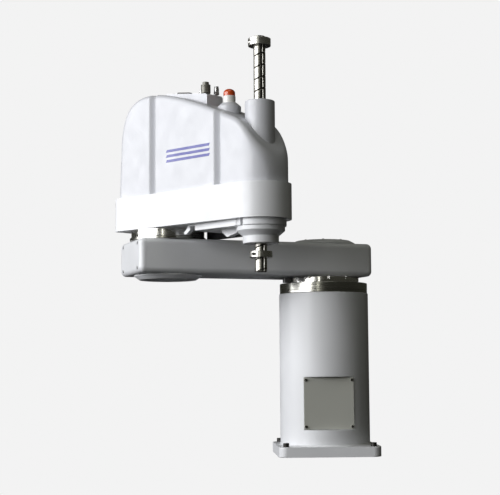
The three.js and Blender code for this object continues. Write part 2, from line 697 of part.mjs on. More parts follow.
// A duct under the casting for the hoses between the elbow and the shaft boss.
function undersideDuct() {
  const top = ARM2_BOTTOM - GAP;
  const middle = [(DUCT.from + DUCT.to) / 2, (DUCT.near + DUCT.far) / 2];
  const halves = [(DUCT.to - DUCT.from) / 2, (DUCT.far - DUCT.near) / 2];
  const duct = prism(roundedRectangle(...halves, DUCT.corner, ...middle), top - DUCT.depth, top, 3);
  const skirtPlan = new THREE.Shape(SKIRT.outline.map(([x, y]) => new THREE.Vector2(x, y)));
  const skirt = prism(skirtPlan, top - SKIRT.depth, top);
  const farLink = block([DUCT.from + 12, DUCT.far - 12, top - LINK_DEPTH], [230, 72, top]);
  const nearLink = block([150, HOOK.near, top - LINK_DEPTH], [DUCT.from + 12, HOOK.far, top]);
  const boss = disc(BOSS_UPPER_RADIUS + GAP, top - 2 * DUCT.depth, top + OVERCUT, {
    at: SHAFT_PLACE,
    sides: SIDES.large,
  });
  return duct
    .add(skirt)
    .add(farLink)
    .add(nearLink)
    .add(sideBar(STRUT))
    .add(sideBar(HOOK))
    .subtract(boss);
}

// A servo motor that stands on its mounting face, with its spindle pointing down.
function uprightMotor(half, face, height, spindleRadius, spindleBottom, at) {
  const square = (inset, from, to) =>
    prism(roundedRectangle(half - inset, half - inset, 4, ...at), face + from, face + to, 3);
  const flange = square(0, 0, 8);
  const body = square(2, 7, height * 0.72);
  const encoder = square(5, height * 0.7, height);
  const spindle = disc(spindleRadius, spindleBottom, face + 1, { at, sides: SIDES.screw });
  return flange.add(body).add(encoder).add(spindle);
}

// A stand for a belt motor: a plate over the belt, with a leg at its back and one at the arm's wall.
function motorStand(side, plateTop) {
  const floor = ARM2_BOTTOM + CASTING_FLOOR + GAP;
  const thickness = 4;
  const legTop = plateTop - 1;
  const from = MOTOR_PLACE - MOTOR_HALF - 3;
  const to = MOTOR_PLACE + MOTOR_HALF + 3;
  const inner = 7;
  const outer = 69.5;
  const wallInner = 66;
  const across = (near, far) => (side < 0 ? [-far, -near] : [near, far]);
  const [low, high] = across(inner, outer);
  const [wallLow, wallHigh] = across(wallInner, outer);
  const plate = block([from, low, plateTop - thickness], [to, high, plateTop]);
  const back = block([from, low, floor], [from + thickness, high, legTop]);
  const wall = block([from, wallLow, floor], [to, wallHigh, legTop]);
  const spindleHole = disc(MOTOR_SPINDLE + 3, floor, plateTop + OVERCUT, {
    at: [MOTOR_PLACE, side * MOTOR_SIDE],
    sides: SIDES.screw,
  });
  return plate.add(back).add(wall).subtract(spindleHole);
}

// A closed belt round the nut's pulley and a motor's pulley.
function belt(side, [bottom, top]) {
  const loop = (offset) => {
    const big = PULLEY_RADIUS + offset;
    const small = MOTOR_PULLEY_RADIUS + offset;
    const dx = ARM2_LENGTH - MOTOR_PLACE;
    const dy = -side * MOTOR_SIDE;
    const heading = Math.atan2(dy, dx);
    const wrap = Math.acos((big - small) / Math.hypot(dx, dy));
    const shape = new THREE.Shape();
    shape.absarc(ARM2_LENGTH, 0, big, heading - Math.PI + wrap, heading + Math.PI - wrap);
    shape.absarc(MOTOR_PLACE, side * MOTOR_SIDE, small, heading + Math.PI - wrap, heading + Math.PI + wrap);
    return shape;
  };
  const clearance = 0.4;
  return prism(loop(clearance + BELT_THICKNESS), bottom, top, 10)
    .subtract(prism(loop(clearance), bottom - OVERCUT, top + OVERCUT, 10));
}

// A belt pulley with a flange above and below the belt.
function pulley(radius, bore, [bottom, top], at, sides = SIDES.small) {
  const rim = radius + BELT_THICKNESS + 2;
  const edge = 1;
  return turned([
    [bore, bottom - edge - PULLEY_FLANGE],
    [rim, bottom - edge - PULLEY_FLANGE],
    [rim, bottom - edge],
    [radius, bottom - edge],
    [radius, top + edge],
    [rim, top + edge],
    [rim, top + edge + PULLEY_FLANGE],
    [bore, top + edge + PULLEY_FLANGE],
    [bore, bottom - edge - PULLEY_FLANGE],
  ], { at, sides });
}

// The bridge that carries the ball nut over the pulleys, shaped to the inside of the nose.
function nutBridge() {
  const floor = ARM2_BOTTOM + CASTING_FLOOR + GAP;
  const { bottom, top, from, bore } = BRIDGE;
  const leg = BRIDGE_LEG;
  const reach = ARM2_LENGTH + NOSE_RADIUS;
  const noseEnd = block(
    [from, -ARM2_BACK_HALF_WIDTH, bottom - OVERCUT],
    [reach, ARM2_BACK_HALF_WIDTH, top + OVERCUT],
  );
  const plate = prism(arm2Plan(CASTING_WALL + 1), bottom, top, 14).intersect(noseEnd);
  const leftLeg = block([leg.from, leg.inner, floor], [leg.to, leg.outer, bottom + 1]);
  const rightLeg = block([leg.from, -leg.outer, floor], [leg.to, -leg.inner, bottom + 1]);
  const nutHole = disc(bore, bottom - OVERCUT, top + OVERCUT, { at: SHAFT_PLACE });
  return plate.add(leftLeg).add(rightLeg).subtract(nutHole);
}

function userPanel(standing) {
  const { from, to, half, rearTop, frontTop } = USER_PANEL;
  const shape = new THREE.Shape();
  const corner = 6;
  const insideCover = RIM_TOP + 180;
  shape.moveTo(from, insideCover);
  shape.lineTo(to, insideCover);
  shape.lineTo(to, frontTop - corner);
  shape.quadraticCurveTo(to, frontTop, to - corner, frontTop + 1);
  shape.lineTo(from + corner, rearTop);
  shape.quadraticCurveTo(from, rearTop, from, rearTop - corner);
  return acrossArm(shape, half, 3).subtract(standing);
}

// The height of the user panel's sloping top.
function panelTopAt(along) {
  const { from, to, rearTop, frontTop } = USER_PANEL;
  return rearTop + (frontTop - rearTop) * (along - from) / (to - from);
}

// A flat multi-way socket, open at the top.
function userSocket() {
  const shell = prism(roundedRectangle(24, 6.5, 3), 0, 6, 3);
  return shell.subtract(prism(roundedRectangle(21, 4, 2), 2, 8, 3));
}

// The switch that releases the brake: a cup on the user panel.
function switchBody() {
  const [along] = SWITCH_PLACE;
  const foot = panelTopAt(along - SWITCH_RADIUS) + 1;
  const cup = ring(SWITCH_RADIUS, BUTTON_RADIUS + 0.4, foot + 4, SWITCH_TOP, { sides: SIDES.small });
  return cup.add(disc(SWITCH_RADIUS, foot, foot + 5, { sides: SIDES.small }));
}

function addTopFittings(arm) {
  const standing = coverOutside(GAP);
  piece(arm, "user_panel", userPanel(standing), PAINT);

  const socketPosition = [USER_SOCKET_PLACE, 0, panelTopAt(USER_SOCKET_PLACE) + 1];
  const socket = piece(arm, "user_signal_connector", userSocket(), BLACK_OXIDE, socketPosition);
  socket.rotation.y = Math.atan2(USER_PANEL.rearTop - USER_PANEL.frontTop, USER_PANEL.to - USER_PANEL.from);

  USER_FITTINGS.forEach(([x, y, height], index) => {
    const position = [x, y, panelTopAt(x) + 2];
    piece(arm, `user_air_fitting_${index + 1}`, airFitting(6.5, height), ALUMINIUM, position);
  });

  const switchPosition = [...SWITCH_PLACE, 0];
  piece(arm, "brake_switch_body", switchBody(), BLACK_PLASTIC, switchPosition);
  const button = turned([
    [0, SWITCH_TOP - BUTTON_DEPTH],
    [BUTTON_RADIUS, SWITCH_TOP - BUTTON_DEPTH],
    [BUTTON_RADIUS, SWITCH_TOP + BUTTON_DEPTH - 2],
    [BUTTON_RADIUS - 1.2, SWITCH_TOP + BUTTON_DEPTH],
    [0, SWITCH_TOP + BUTTON_DEPTH],
  ], { sides: SIDES.small });
  piece(arm, "brake_button", button, BLACK_PLASTIC, switchPosition);

  const cone = turned([
    [0, LAMP_FOOT],
    [30, LAMP_FOOT],
    [30, LAMP_SEAT - 9],
    [20, LAMP_SEAT],
    [0, LAMP_SEAT],
  ], { at: LAMP_PLACE, sides: SIDES.medium });
  piece(arm, "lamp_base", cone.subtract(standing), PAINT_SHADE);
  const lampPosition = [...LAMP_PLACE, LAMP_SEAT + GAP];
  const collarOutline = [[0, 0], [16, 0], [16, 17], [15, 18.5], [0, 18.5]];
  piece(arm, "lamp_collar", turned(collarOutline, { sides: SIDES.small }), LAMP_WHITE, lampPosition);
  const domeOutline = [[0, 18.8], [15, 18.8], [15, 28], [13, 33.5], [9, 36.2], [0, 37.4]];
  piece(arm, "lamp_dome", turned(domeOutline, { sides: SIDES.small }), LAMP_AMBER, lampPosition);
}

function addArm2(arm) {
  const flangeHeights = [ELBOW_CASE_TOP + GAP, ARM2_BOTTOM - GAP];
  const flange = ring(ELBOW_FLANGE_RADIUS, ELBOW_FLANGE_BORE, ...flangeHeights, { sides: SIDES.large });
  piece(arm, "j2_output_flange", flange, BRIGHT_STEEL);
  piece(arm, "arm2_casting", arm2Casting(), PAINT);
  piece(arm, "arm2_hose_channel", undersideDuct(), PAINT);
  piece(arm, "arm2_cover", arm2Cover(), PAINT);
  const tube = ring(TUBE_RADIUS, TUBE_BORE, TUBE_BOTTOM, TUBE_TOP, { at: SHAFT_PLACE });
  piece(arm, "shaft_tube", tube, PAINT_SHADE);

  const floor = ARM2_BOTTOM + CASTING_FLOOR + GAP;
  piece(arm, "j2_motor", uprightMotor(42, floor, 150, 12, ELBOW_CASE_TOP - 8, [0, 0]), BLACK_OXIDE);
  const motors = [
    { name: "j4", side: 1, band: J4_BELT, height: 120 },
    { name: "j3", side: -1, band: J3_BELT, height: 130 },
  ];
  for (const { name, side, band, height } of motors) {
    const at = [MOTOR_PLACE, side * MOTOR_SIDE];
    const standTop = band[1] + 8;
    piece(arm, `${name}_motor_stand`, motorStand(side, standTop), ALUMINIUM);
    const motor = uprightMotor(MOTOR_HALF, standTop + GAP, height, MOTOR_SPINDLE, band[0], at);
    piece(arm, `${name}_motor`, motor, BLACK_OXIDE);
    const motorPulley = pulley(MOTOR_PULLEY_RADIUS, MOTOR_SPINDLE + GAP, band, at);
    piece(arm, `${name}_motor_pulley`, motorPulley, ALUMINIUM);
    piece(arm, `${name}_belt`, belt(side, band), RUBBER);
  }
  piece(arm, "nut_bridge", nutBridge(), ALUMINIUM);
  addTopFittings(arm);
}

// ---- Shaft and nuts ----
// A clamp collar split on one side.
function collar([bottom, top]) {
  const slot = block(
    [SHAFT_RADIUS - OVERCUT, -1, bottom - OVERCUT],
    [COLLAR_RADIUS + OVERCUT, 1, top + OVERCUT],
  );
  return ring(COLLAR_RADIUS, SHAFT_RADIUS + GAP, bottom, top, { sides: SIDES.medium }).subtract(slot);
}

// A nut's pulley, with the nut's own number of sides so that it fits over its neck.
const nutPulley = (neck, band) => pulley(PULLEY_RADIUS, neck + GAP, band, [0, 0], SIDES.medium);

function addShaft(quill) {
  const bore = SHAFT_RADIUS + SHAFT_CLEARANCE;
  const pulleySeat = J4_BELT[0] - 5;
  const splineNut = ring(SPLINE_NUT_RADIUS, bore, BOSS_BOTTOM + 6, pulleySeat)
    .add(ring(SPLINE_NUT_NECK, bore, pulleySeat - 1, J4_BELT[1] + 4));
  piece(quill, "spline_nut", splineNut, BRIGHT_STEEL);
  piece(quill, "spline_nut_pulley", nutPulley(SPLINE_NUT_NECK, J4_BELT), ALUMINIUM);

  const ballNut = ring(BALL_NUT_NECK, bore, J3_BELT[0] - 4, BALL_NUT_TOP - 8)
    .add(ring(BALL_NUT_HEAD, bore, J3_BELT[1] + 4, BALL_NUT_TOP));
  piece(quill, "ball_nut", ballNut, BRIGHT_STEEL);
  piece(quill, "ball_nut_pulley", nutPulley(BALL_NUT_NECK, J3_BELT), ALUMINIUM);

  piece(quill, "z_shaft", ring(SHAFT_RADIUS, SHAFT_BORE, SHAFT_BOTTOM, SHAFT_TOP), BRIGHT_STEEL);
  piece(quill, "upper_collar", collar(UPPER_COLLAR), STEEL);
  piece(quill, "lower_collar", collar(LOWER_COLLAR), STEEL);
}

// ---- Assembly ----
const robot = new THREE.Group();
addBase(robot);

const shoulder = new THREE.Group();
shoulder.rotation.z = radians(ARM1_HEADING);
addArm1(robot, shoulder);

const elbow = new THREE.Group();
elbow.position.set(ARM1_LENGTH, 0, 0);
elbow.rotation.z = radians(ELBOW_TURN);
shoulder.add(elbow);
addArm2(elbow);

const quill = new THREE.Group();
quill.position.set(ARM2_LENGTH, 0, 0);
elbow.add(quill);
addShaft(quill);

export default robot;
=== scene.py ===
import json
import math

import bmesh
import bpy
import numpy as np
from mathutils import Matrix, Vector


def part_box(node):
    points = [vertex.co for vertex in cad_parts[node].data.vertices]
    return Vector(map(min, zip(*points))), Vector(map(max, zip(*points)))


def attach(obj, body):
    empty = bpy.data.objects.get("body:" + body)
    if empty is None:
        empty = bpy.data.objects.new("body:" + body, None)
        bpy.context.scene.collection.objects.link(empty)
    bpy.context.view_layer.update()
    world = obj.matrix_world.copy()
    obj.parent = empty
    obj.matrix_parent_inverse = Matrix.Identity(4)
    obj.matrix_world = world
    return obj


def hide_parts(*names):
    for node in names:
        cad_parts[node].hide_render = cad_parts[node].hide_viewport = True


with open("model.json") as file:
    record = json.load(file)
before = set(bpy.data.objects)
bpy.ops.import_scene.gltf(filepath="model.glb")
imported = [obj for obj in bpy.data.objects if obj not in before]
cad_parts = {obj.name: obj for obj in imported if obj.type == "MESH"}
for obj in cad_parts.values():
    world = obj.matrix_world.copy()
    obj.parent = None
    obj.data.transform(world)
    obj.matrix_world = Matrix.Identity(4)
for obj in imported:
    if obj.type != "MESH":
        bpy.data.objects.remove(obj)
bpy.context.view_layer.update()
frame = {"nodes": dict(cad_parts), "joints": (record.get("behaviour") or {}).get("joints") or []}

# Pieces are built in millimetres in the frame of their own arm, with +X along the arm, and then placed.
MM = 0.001
FACETS = 96
GAP = 0.3


# ---- Where things are, from the frame ----
def joint_place(name):
    joint = next(j for j in frame["joints"] if j["name"] == name)
    return Vector((joint["pos_m"][0], joint["pos_m"][1], 0.0))


SHOULDER = joint_place("shoulder_turn")
ELBOW = joint_place("elbow_turn")
QUILL = joint_place("shaft_turn")


def arm_frame(start, toward):
    along = toward - start
    heading = math.atan2(along.y, along.x)
    return Matrix.Translation(start) @ Matrix.Rotation(heading, 4, "Z") @ Matrix.Scale(MM, 4)


BASE = Matrix.Scale(MM, 4)
ARM_1 = arm_frame(SHOULDER, ELBOW)
ARM_2 = arm_frame(ELBOW, QUILL)
QUILL_FRAME = ARM_2 @ Matrix.Translation(((QUILL - ELBOW).length / MM, 0, 0))
ARM1_LENGTH = (ELBOW - SHOULDER).length / MM
ARM2_LENGTH = (QUILL - ELBOW).length / MM


def own_box(node, place):
    """A node's lowest and highest corners in millimetres, in the frame that it is built in."""
    inverse = place.inverted()
    points = [inverse @ v.co for v in frame["nodes"][node].data.vertices]
    low = Vector([min(p[i] for p in points) for i in range(3)])
    high = Vector([max(p[i] for p in points) for i in range(3)])
    return low, high


def heights(node):
    low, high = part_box(node)
    return low.z / MM, high.z / MM


# ---- Outlines ----
CORNERS = [(-1, -1), (1, -1), (1, 1), (-1, 1)]


def fillet(points, radii, closed=True, steps=6):
    """The polyline with each corner replaced by an arc. radii is one radius or one for each corner."""
    corners = [Vector(p).to_2d() for p in points]
    count = len(corners)
    sizes = radii if isinstance(radii, (list, tuple)) else [radii] * count
    result = []
    for i, corner in enumerate(corners):
        if sizes[i] <= 0 or (not closed and i in (0, count - 1)):
            result.append(corner)
            continue
        before = corners[i - 1] - corner
        after = corners[(i + 1) % count] - corner
        turn = math.pi - before.angle(after)
        if turn < 0.01:
            result.append(corner)
            continue
        reach = min(sizes[i] * math.tan(turn / 2), before.length * 0.49, after.length * 0.49)
        start = corner + before.normalized() * reach
        end = corner + after.normalized() * reach
        weight = math.cos(turn / 2)
        for step in range(steps + 1):
            t = step / steps
            a, b, c = (1 - t) ** 2, 2 * t * (1 - t) * weight, t * t
            result.append((start * a + corner * b + end * c) / (a + b + c))
    return result


def rectangle(half_x, half_y, corner, center=(0, 0), steps=8):
    points = [(center[0] + x * half_x, center[1] + y * half_y) for x, y in CORNERS]
    return fillet(points, corner, steps=steps)


def arc(center, radius, start, end, steps):
    return [
        Vector((center[0] + radius * math.cos(a), center[1] + radius * math.sin(a)))
        for a in (math.radians(start + (end - start) * i / steps) for i in range(steps + 1))
    ]


# ---- Solids ----
def to_object(bm, name="part"):
    bmesh.ops.recalc_face_normals(bm, faces=bm.faces)
    mesh = bpy.data.meshes.new(name)
    bm.to_mesh(mesh)
    bm.free()
    obj = bpy.data.objects.new(name, mesh)
    bpy.context.scene.collection.objects.link(obj)
    return obj


def bridge(bm, lower, upper):
    """The faces between two rings of equally many vertices."""
    count = len(lower)
    for i in range(count):
        j = (i + 1) % count
        bm.faces.new((lower[i], lower[j], upper[j], upper[i]))


def round_edges(bm, edges, size, steps, clamp=True):
    bmesh.ops.bevel(
        bm, geom=edges, offset=size, segments=steps, profile=0.5, affect="EDGES", clamp_overlap=clamp)


def prism(outline, bottom, top, edge=0.0, steps=3, edges_at="both"):
    """An outline raised between two heights, with its rims rounded by edge."""
    bm = bmesh.new()
    low = [bm.verts.new((p[0], p[1], bottom)) for p in outline]
    high = [bm.verts.new((p[0], p[1], top)) for p in outline]
    bm.faces.new(list(reversed(low)))
    bm.faces.new(high)
    bridge(bm, low, high)
    if edge > 0:
        wanted = {"both": (bottom, top), "top": (top,), "bottom": (bottom,)}[edges_at]
        rims = [
            e for e in bm.edges
            if any(all(abs(v.co.z - z) < 1e-6 for v in e.verts) for z in wanted)
        ]
        round_edges(bm, rims, edge, steps)
    return to_object(bm)


def stacked(layers):
    """A solid through outlines of equally many points, each given with its height."""
    bm = bmesh.new()
    rings = [[bm.verts.new((p[0], p[1], z)) for p in outline] for outline, z in layers]
    bm.faces.new(list(reversed(rings[0])))
    bm.faces.new(rings[-1])
    for lower, upper in zip(rings, rings[1:]):
        bridge(bm, lower, upper)
    return to_object(bm)


def side_bar(outline, near, far, edge=1.0):
    """A bar across the arm from its outline seen from the side, with its long edges rounded."""
    bar = prism(outline, -far, -near, edge=edge, steps=2)
    return moved(bar, turn_about("X", 90))


def box(low, high, edge=0.0, steps=3):
    """A box between two corners, with all its edges rounded."""
    bm = bmesh.new()
    bmesh.ops.create_cube(bm, size=1)
    size = Vector(high) - Vector(low)
    middle = (Vector(high) + Vector(low)) / 2
    for v in bm.verts:
        v.co = Vector((v.co.x * size.x, v.co.y * size.y, v.co.z * size.z)) + middle
    if edge > 0:
        round_edges(bm, bm.edges[:], edge, steps, clamp=False)
    return to_object(bm)


def lathe(profile, facets=FACETS, at=(0, 0)):
    """A body turned about the upright axis from a closed outline of (radius, height) points."""
    bm = bmesh.new()
    rings = []
    for r, z in profile:
        if r < 1e-6:
            rings.append([bm.verts.new((at[0], at[1], z))] * facets)
            continue
        rings.append([
            bm.verts.new((at[0] + r * math.cos(a), at[1] + r * math.sin(a), z))
            for a in (2 * math.pi * i / facets for i in range(facets))
        ])
    for k, ring in enumerate(rings):
        following = rings[(k + 1) % len(rings)]
        for i in range(facets):
            j = (i + 1) % facets
            corners = []
            for v in (ring[i], ring[j], following[j], following[i]):
                if v not in corners:
                    corners.append(v)
            if len(corners) > 2:
                bm.faces.new(corners)
    return to_object(bm)


def turned(points, radius, facets=FACETS, at=(0, 0), steps=4):
    """The same with rounded corners; corners on the axis stay sharp."""
    sizes = [0 if p[0] < 1e-6 else radius for p in points]
    return lathe(fillet(points, sizes, steps=steps), facets, at)


def tube(outer, inner, bottom, top, edge, facets=FACETS, at=(0, 0)):
    return turned([(inner, bottom), (outer, bottom), (outer, top), (inner, top)], edge, facets, at)


def rod(radius, bottom, top, facets=32, at=(0, 0), edge=0.0):
    return turned([(0, bottom), (radius, bottom), (radius, top), (0, top)], edge, facets, at)


def moved(obj, matrix):
    obj.data.transform(matrix)
    return obj


def copy_of(obj, matrix):
    twin = bpy.data.objects.new(obj.name, obj.data.copy())
    bpy.context.scene.collection.objects.link(twin)
    return moved(twin, matrix)


def discard(obj):
    bpy.data.objects.remove(obj, do_unlink=True)


def combine(obj, tool, operation="DIFFERENCE", keep=False):
    """Cuts or joins with a second solid, which is used up unless it is kept."""
    modifier = obj.modifiers.new("combine", "BOOLEAN")
    modifier.operation = operation
    modifier.solver = "EXACT"
    modifier.object = tool
    bpy.context.view_layer.update()
    evaluated = obj.evaluated_get(bpy.context.evaluated_depsgraph_get())
    mesh = bpy.data.meshes.new_from_object(evaluated)
    obj.modifiers.clear()
    obj.data = mesh
    if not keep:
        discard(tool)
    return obj


def joined(parts):
    """Several separate solids as one piece."""
    bm = bmesh.new()
    for part in parts:
        bm.from_mesh(part.data)
    for part in parts:
        discard(part)
    return to_object(bm)


def turn_about(axis, degrees):
    return Matrix.Rotation(math.radians(degrees), 4, axis)


def shift(x, y, z):
    return Matrix.Translation((x, y, z))


def socket_head(radius, height, facets=32):
    """A socket-head cap screw's head, standing on z = 0."""
    head = turned([(0, -0.5), (radius, -0.5), (radius, height), (0, height)], radius * 0.12, facets)
    hexagon = rod(radius * 0.52, height * 0.4, height + 1, 6)
    return combine(head, hexagon)


# ---- Finished pieces ----
def finish_piece(obj, name, place, body, slot, material, nodes=(), angle=32):
    obj.name = name
    obj.data.name = name
    if place is not None:
        obj.data.transform(place)
    for polygon in obj.data.polygons:
        polygon.use_smooth = True
    obj.data.set_sharp_from_angle(angle=math.radians(angle))
    if not obj.data.materials:
        obj.data.materials.append(material)
    weighted = obj.modifiers.new("weighted normals", "WEIGHTED_NORMAL")
    weighted.keep_sharp = True
    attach(obj, body)
    if nodes:
        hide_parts(*nodes)
    return obj


# ---- Materials ----
def new_material(name, color, roughness, metallic=0.0, coat=0.0):
    material = bpy.data.materials.new(name)
    material.use_nodes = True
    shader = material.node_tree.nodes["Principled BSDF"]
    shader.inputs["Base Color"].default_value = (*color, 1)
    shader.inputs["Roughness"].default_value = roughness
    shader.inputs["Metallic"].default_value = metallic
    shader.inputs["Coat Weight"].default_value = coat
    shader.inputs["Coat Roughness"].default_value = 0.2
    return material, material.node_tree, shader


def noise(tree, scale, detail=3.0, stretch=(1, 1, 1)):
    """Noise over the object's own coordinates, finer along the axes with a large stretch."""
    coordinates = tree.nodes.new("ShaderNodeTexCoord")
    mapping = tree.nodes.new("ShaderNodeMapping")
    mapping.inputs["Scale"].default_value = stretch
    texture = tree.nodes.new("ShaderNodeTexNoise")
    texture.inputs["Scale"].default_value = scale
    texture.inputs["Detail"].default_value = detail
    tree.links.new(coordinates.outputs["Object"], mapping.inputs["Vector"])
    tree.links.new(mapping.outputs["Vector"], texture.inputs["Vector"])
    return texture.outputs["Fac"]


def tint(tree, shader, value, dark, light):
    ramp = tree.nodes.new("ShaderNodeMix")
    ramp.data_type = "RGBA"
    ramp.inputs["A"].default_value = (*dark, 1)
    ramp.inputs["B"].default_value = (*light, 1)
    tree.links.new(value, ramp.inputs["Factor"])
    tree.links.new(ramp.outputs["Result"], shader.inputs["Base Color"])


def vary_roughness(tree, shader, value, low, high):
    span = tree.nodes.new("ShaderNodeMapRange")
    span.inputs["To Min"].default_value = low
    span.inputs["To Max"].default_value = high
    span.inputs["From Min"].default_value = 0.3
    span.inputs["From Max"].default_value = 0.7
    tree.links.new(value, span.inputs["Value"])
    tree.links.new(span.outputs["Result"], shader.inputs["Roughness"])


def bump(tree, shader, value, strength, distance):
    node = tree.nodes.new("ShaderNodeBump")
    node.inputs["Strength"].default_value = strength
    node.inputs["Distance"].default_value = distance
    tree.links.new(value, node.inputs["Height"])
    tree.links.new(node.outputs["Normal"], shader.inputs["Normal"])


def scaled(color, factor):
    return tuple(channel * factor for channel in color)


def paint(name, color, roughness, grain=260, strength=0.06, coat=0.3):
    """Sprayed paint: slight cloudiness in tone and gloss, and a fine orange-peel surface."""
    material, tree, shader = new_material(name, color, roughness, coat=coat)
    tint(tree, shader, noise(tree, 7), scaled(color, 0.95), scaled(color, 1.03))
    vary_roughness(tree, shader, noise(tree, 28), roughness * 0.85, roughness * 1.25)
    bump(tree, shader, noise(tree, grain, 2), strength, 0.0004)
    return material


def cast_surface(name, color, roughness, metallic):
    material, tree, shader = new_material(name, color, roughness, metallic)
    tint(tree, shader, noise(tree, 60), scaled(color, 0.75), scaled(color, 1.2))
    vary_roughness(tree, shader, noise(tree, 120), roughness * 0.8, roughness * 1.2)
    bump(tree, shader, noise(tree, 900, 4), 0.25, 0.0003)
    return material


def machined(name, color, roughness, stretch, tool_marks=0.06):
    """Turned or ground metal: fine tool marks along one direction, with uneven gloss."""
    material, tree, shader = new_material(name, color, roughness, 1.0)
    marks = noise(tree, 1, 5, stretch)
    tint(tree, shader, noise(tree, 22), scaled(color, 0.82), scaled(color, 1.12))
    vary_roughness(tree, shader, marks, roughness * 0.65, roughness * 1.5)
    bump(tree, shader, marks, tool_marks, 0.00008)
    return material


def moulded(name, color, roughness, grain=700, strength=0.12):
    material, tree, shader = new_material(name, color, roughness)
    tint(tree, shader, noise(tree, 35), scaled(color, 0.8), scaled(color, 1.3))
    vary_roughness(tree, shader, noise(tree, 80), roughness * 0.8, roughness * 1.2)
    bump(tree, shader, noise(tree, grain, 3), strength, 0.0003)
    return material


WHITE = (0.80, 0.81, 0.83)
PAINT = paint("paint white", WHITE, 0.38, coat=0.1)
COVER_PAINT = paint("cover white", (0.63, 0.64, 0.675), 0.40, grain=420, strength=0.04, coat=0.15)
PLATE_PAINT = paint("plate paint", (0.46, 0.465, 0.42), 0.45, grain=500, coat=0.0)
STEEL = machined("turned steel", (0.44, 0.435, 0.40), 0.22, (18, 18, 1600), 0.03)
BRIGHT_STEEL = machined("bright steel", (0.80, 0.79, 0.76), 0.17, (14, 14, 2200), 0.03)
SHAFT_STEEL = machined("ground shaft steel", (0.40, 0.39, 0.355), 0.3, (60, 60, 2600), 0.03)
# A darker copy of the shaft's steel for the groove faces: painted shade in the grooves.
GROOVE_SHADE_STEEL = machined("shaft groove painted shade", (0.10, 0.095, 0.085), 0.42, (400, 400, 400))
ALUMINIUM = machined("milled aluminium", (0.62, 0.62, 0.62), 0.36, (900, 60, 60))
COLLAR_STEEL = machined("collar steel", (0.66, 0.65, 0.61), 0.28, (200, 200, 1500), 0.03)
BLACK_OXIDE = cast_surface("black oxide", (0.05, 0.048, 0.045), 0.45, 0.9)
MOTOR_BLACK = cast_surface("motor black", (0.035, 0.035, 0.036), 0.6, 0.3)
BLACK_PLASTIC = moulded("black plastic", (0.028, 0.028, 0.03), 0.42)
SWITCH_GREY = cast_surface("switch grey", (0.17, 0.165, 0.14), 0.36, 0.3)
# Black rubber for the belts and harness; on the duct skirt the same black is painted shade.
RUBBER_AND_SHADE_BLACK = moulded("rubber", (0.022, 0.022, 0.022), 0.75, grain=400, strength=0.3)
LAMP_WHITE = paint("lamp white", (0.86, 0.85, 0.81), 0.25, grain=600, strength=0.03)
MARK_BLUE = paint("mark blue", (0.045, 0.05, 0.32), 0.35, grain=600, strength=0.03, coat=0.1)
GOLD = machined("contact gold", (0.75, 0.52, 0.2), 0.25, (300, 300, 300))


def lamp_material():
    """A moulded lens with some light passing through it."""
    color = (0.80, 0.085, 0.012)
    material, tree, shader = new_material("lamp lens", color, 0.18, coat=0.6)
    shader.inputs["Transmission Weight"].default_value = 0.25
    shader.inputs["IOR"].default_value = 1.49
    tint(tree, shader, noise(tree, 90), scaled(color, 0.85), (0.88, 0.13, 0.02))
    bump(tree, shader, noise(tree, 300, 2), 0.05, 0.0002)
    return material


LAMP_LENS = lamp_material()


# ---- Camera ----
CAMERA_PLACE = Vector((-0.3766, -3.4168, 0.2475))
CAMERA_YAW = 0.0506
CAMERA_PITCH = 0.094
CAMERA_ROLL = -0.007
CAMERA_LENS = 88.85


def add_camera():
    camera = bpy.data.cameras.new("camera")
    camera.lens = CAMERA_LENS
    camera.sensor_width = 36
    obj = bpy.data.objects.new("camera", camera)
    bpy.context.scene.collection.objects.link(obj)
    cos_pitch = math.cos(CAMERA_PITCH)
    forward = Vector((
        math.sin(CAMERA_YAW) * cos_pitch,
        math.cos(CAMERA_YAW) * cos_pitch,
        math.sin(CAMERA_PITCH),
    ))
    level = Vector((math.cos(CAMERA_YAW), -math.sin(CAMERA_YAW), 0))
    upright = level.cross(forward)
    right = math.cos(CAMERA_ROLL) * level + math.sin(CAMERA_ROLL) * upright
    up = right.cross(forward)
    turn = Matrix((right, up, -forward)).transposed()
    obj.matrix_world = Matrix.Translation(CAMERA_PLACE) @ turn.to_4x4()
    bpy.context.scene.camera = obj


add_camera()


# ---- Base ----
PLATE_CORNER = 22
PANEL_BOTTOM, PANEL_TOP = 70, 212
PANEL_FLAT = 102.5
PANEL_HALF = 68.5
PANEL_THICKNESS = 3
PANEL_SCREWS = 62
BOLT_SPACING = 117
BOLT_PLACES = [(x * BOLT_SPACING, y * BOLT_SPACING) for x, y in CORNERS]
BOLT_HEAD = 10


def panel_matrix(side, x, z, stand_off):
    """Turns a piece built lying flat to face the front (side -1) or the back (side 1) of the base."""
    turn = turn_about("X", 90) if side < 0 else turn_about("X", -90)
    return shift(x, side * (PANEL_FLAT + stand_off), z) @ turn


def add_base_casting():
    _, top = heights("base_casting")
    plate_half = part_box("base_casting")[1].x / MM
    plate_top = heights("mounting_bolt_1")[1] - BOLT_HEAD - GAP
    radius = own_box("j1_reducer_case", BASE)[1].x + 2
    plate = prism(rectangle(plate_half, plate_half, PLATE_CORNER), 0, plate_top, edge=3, steps=4)
    foot = 4
    column = lathe(fillet(
        [(0, 2), (radius + foot, 2), (radius + foot, plate_top - 0.5), (radius, plate_top + foot),
         (radius, top), (0, top)],
        [0, 0, 0, foot, 1.5, 0]))
    body = combine(plate, column, "UNION")
    for side in (-1, 1):
        near, far = sorted((side * PANEL_FLAT, side * (radius + 8)))
        body = combine(body, box((-PANEL_HALF, near, PANEL_BOTTOM), (PANEL_HALF, far, PANEL_TOP)))
    for at in BOLT_PLACES:
        body = combine(body, rod(9.5, plate_top - 1.2, plate_top + 4, 40, at=at))
    finish_piece(body, "base_shell", BASE, "base", "paint_white", PAINT, ["base_casting"], 26)


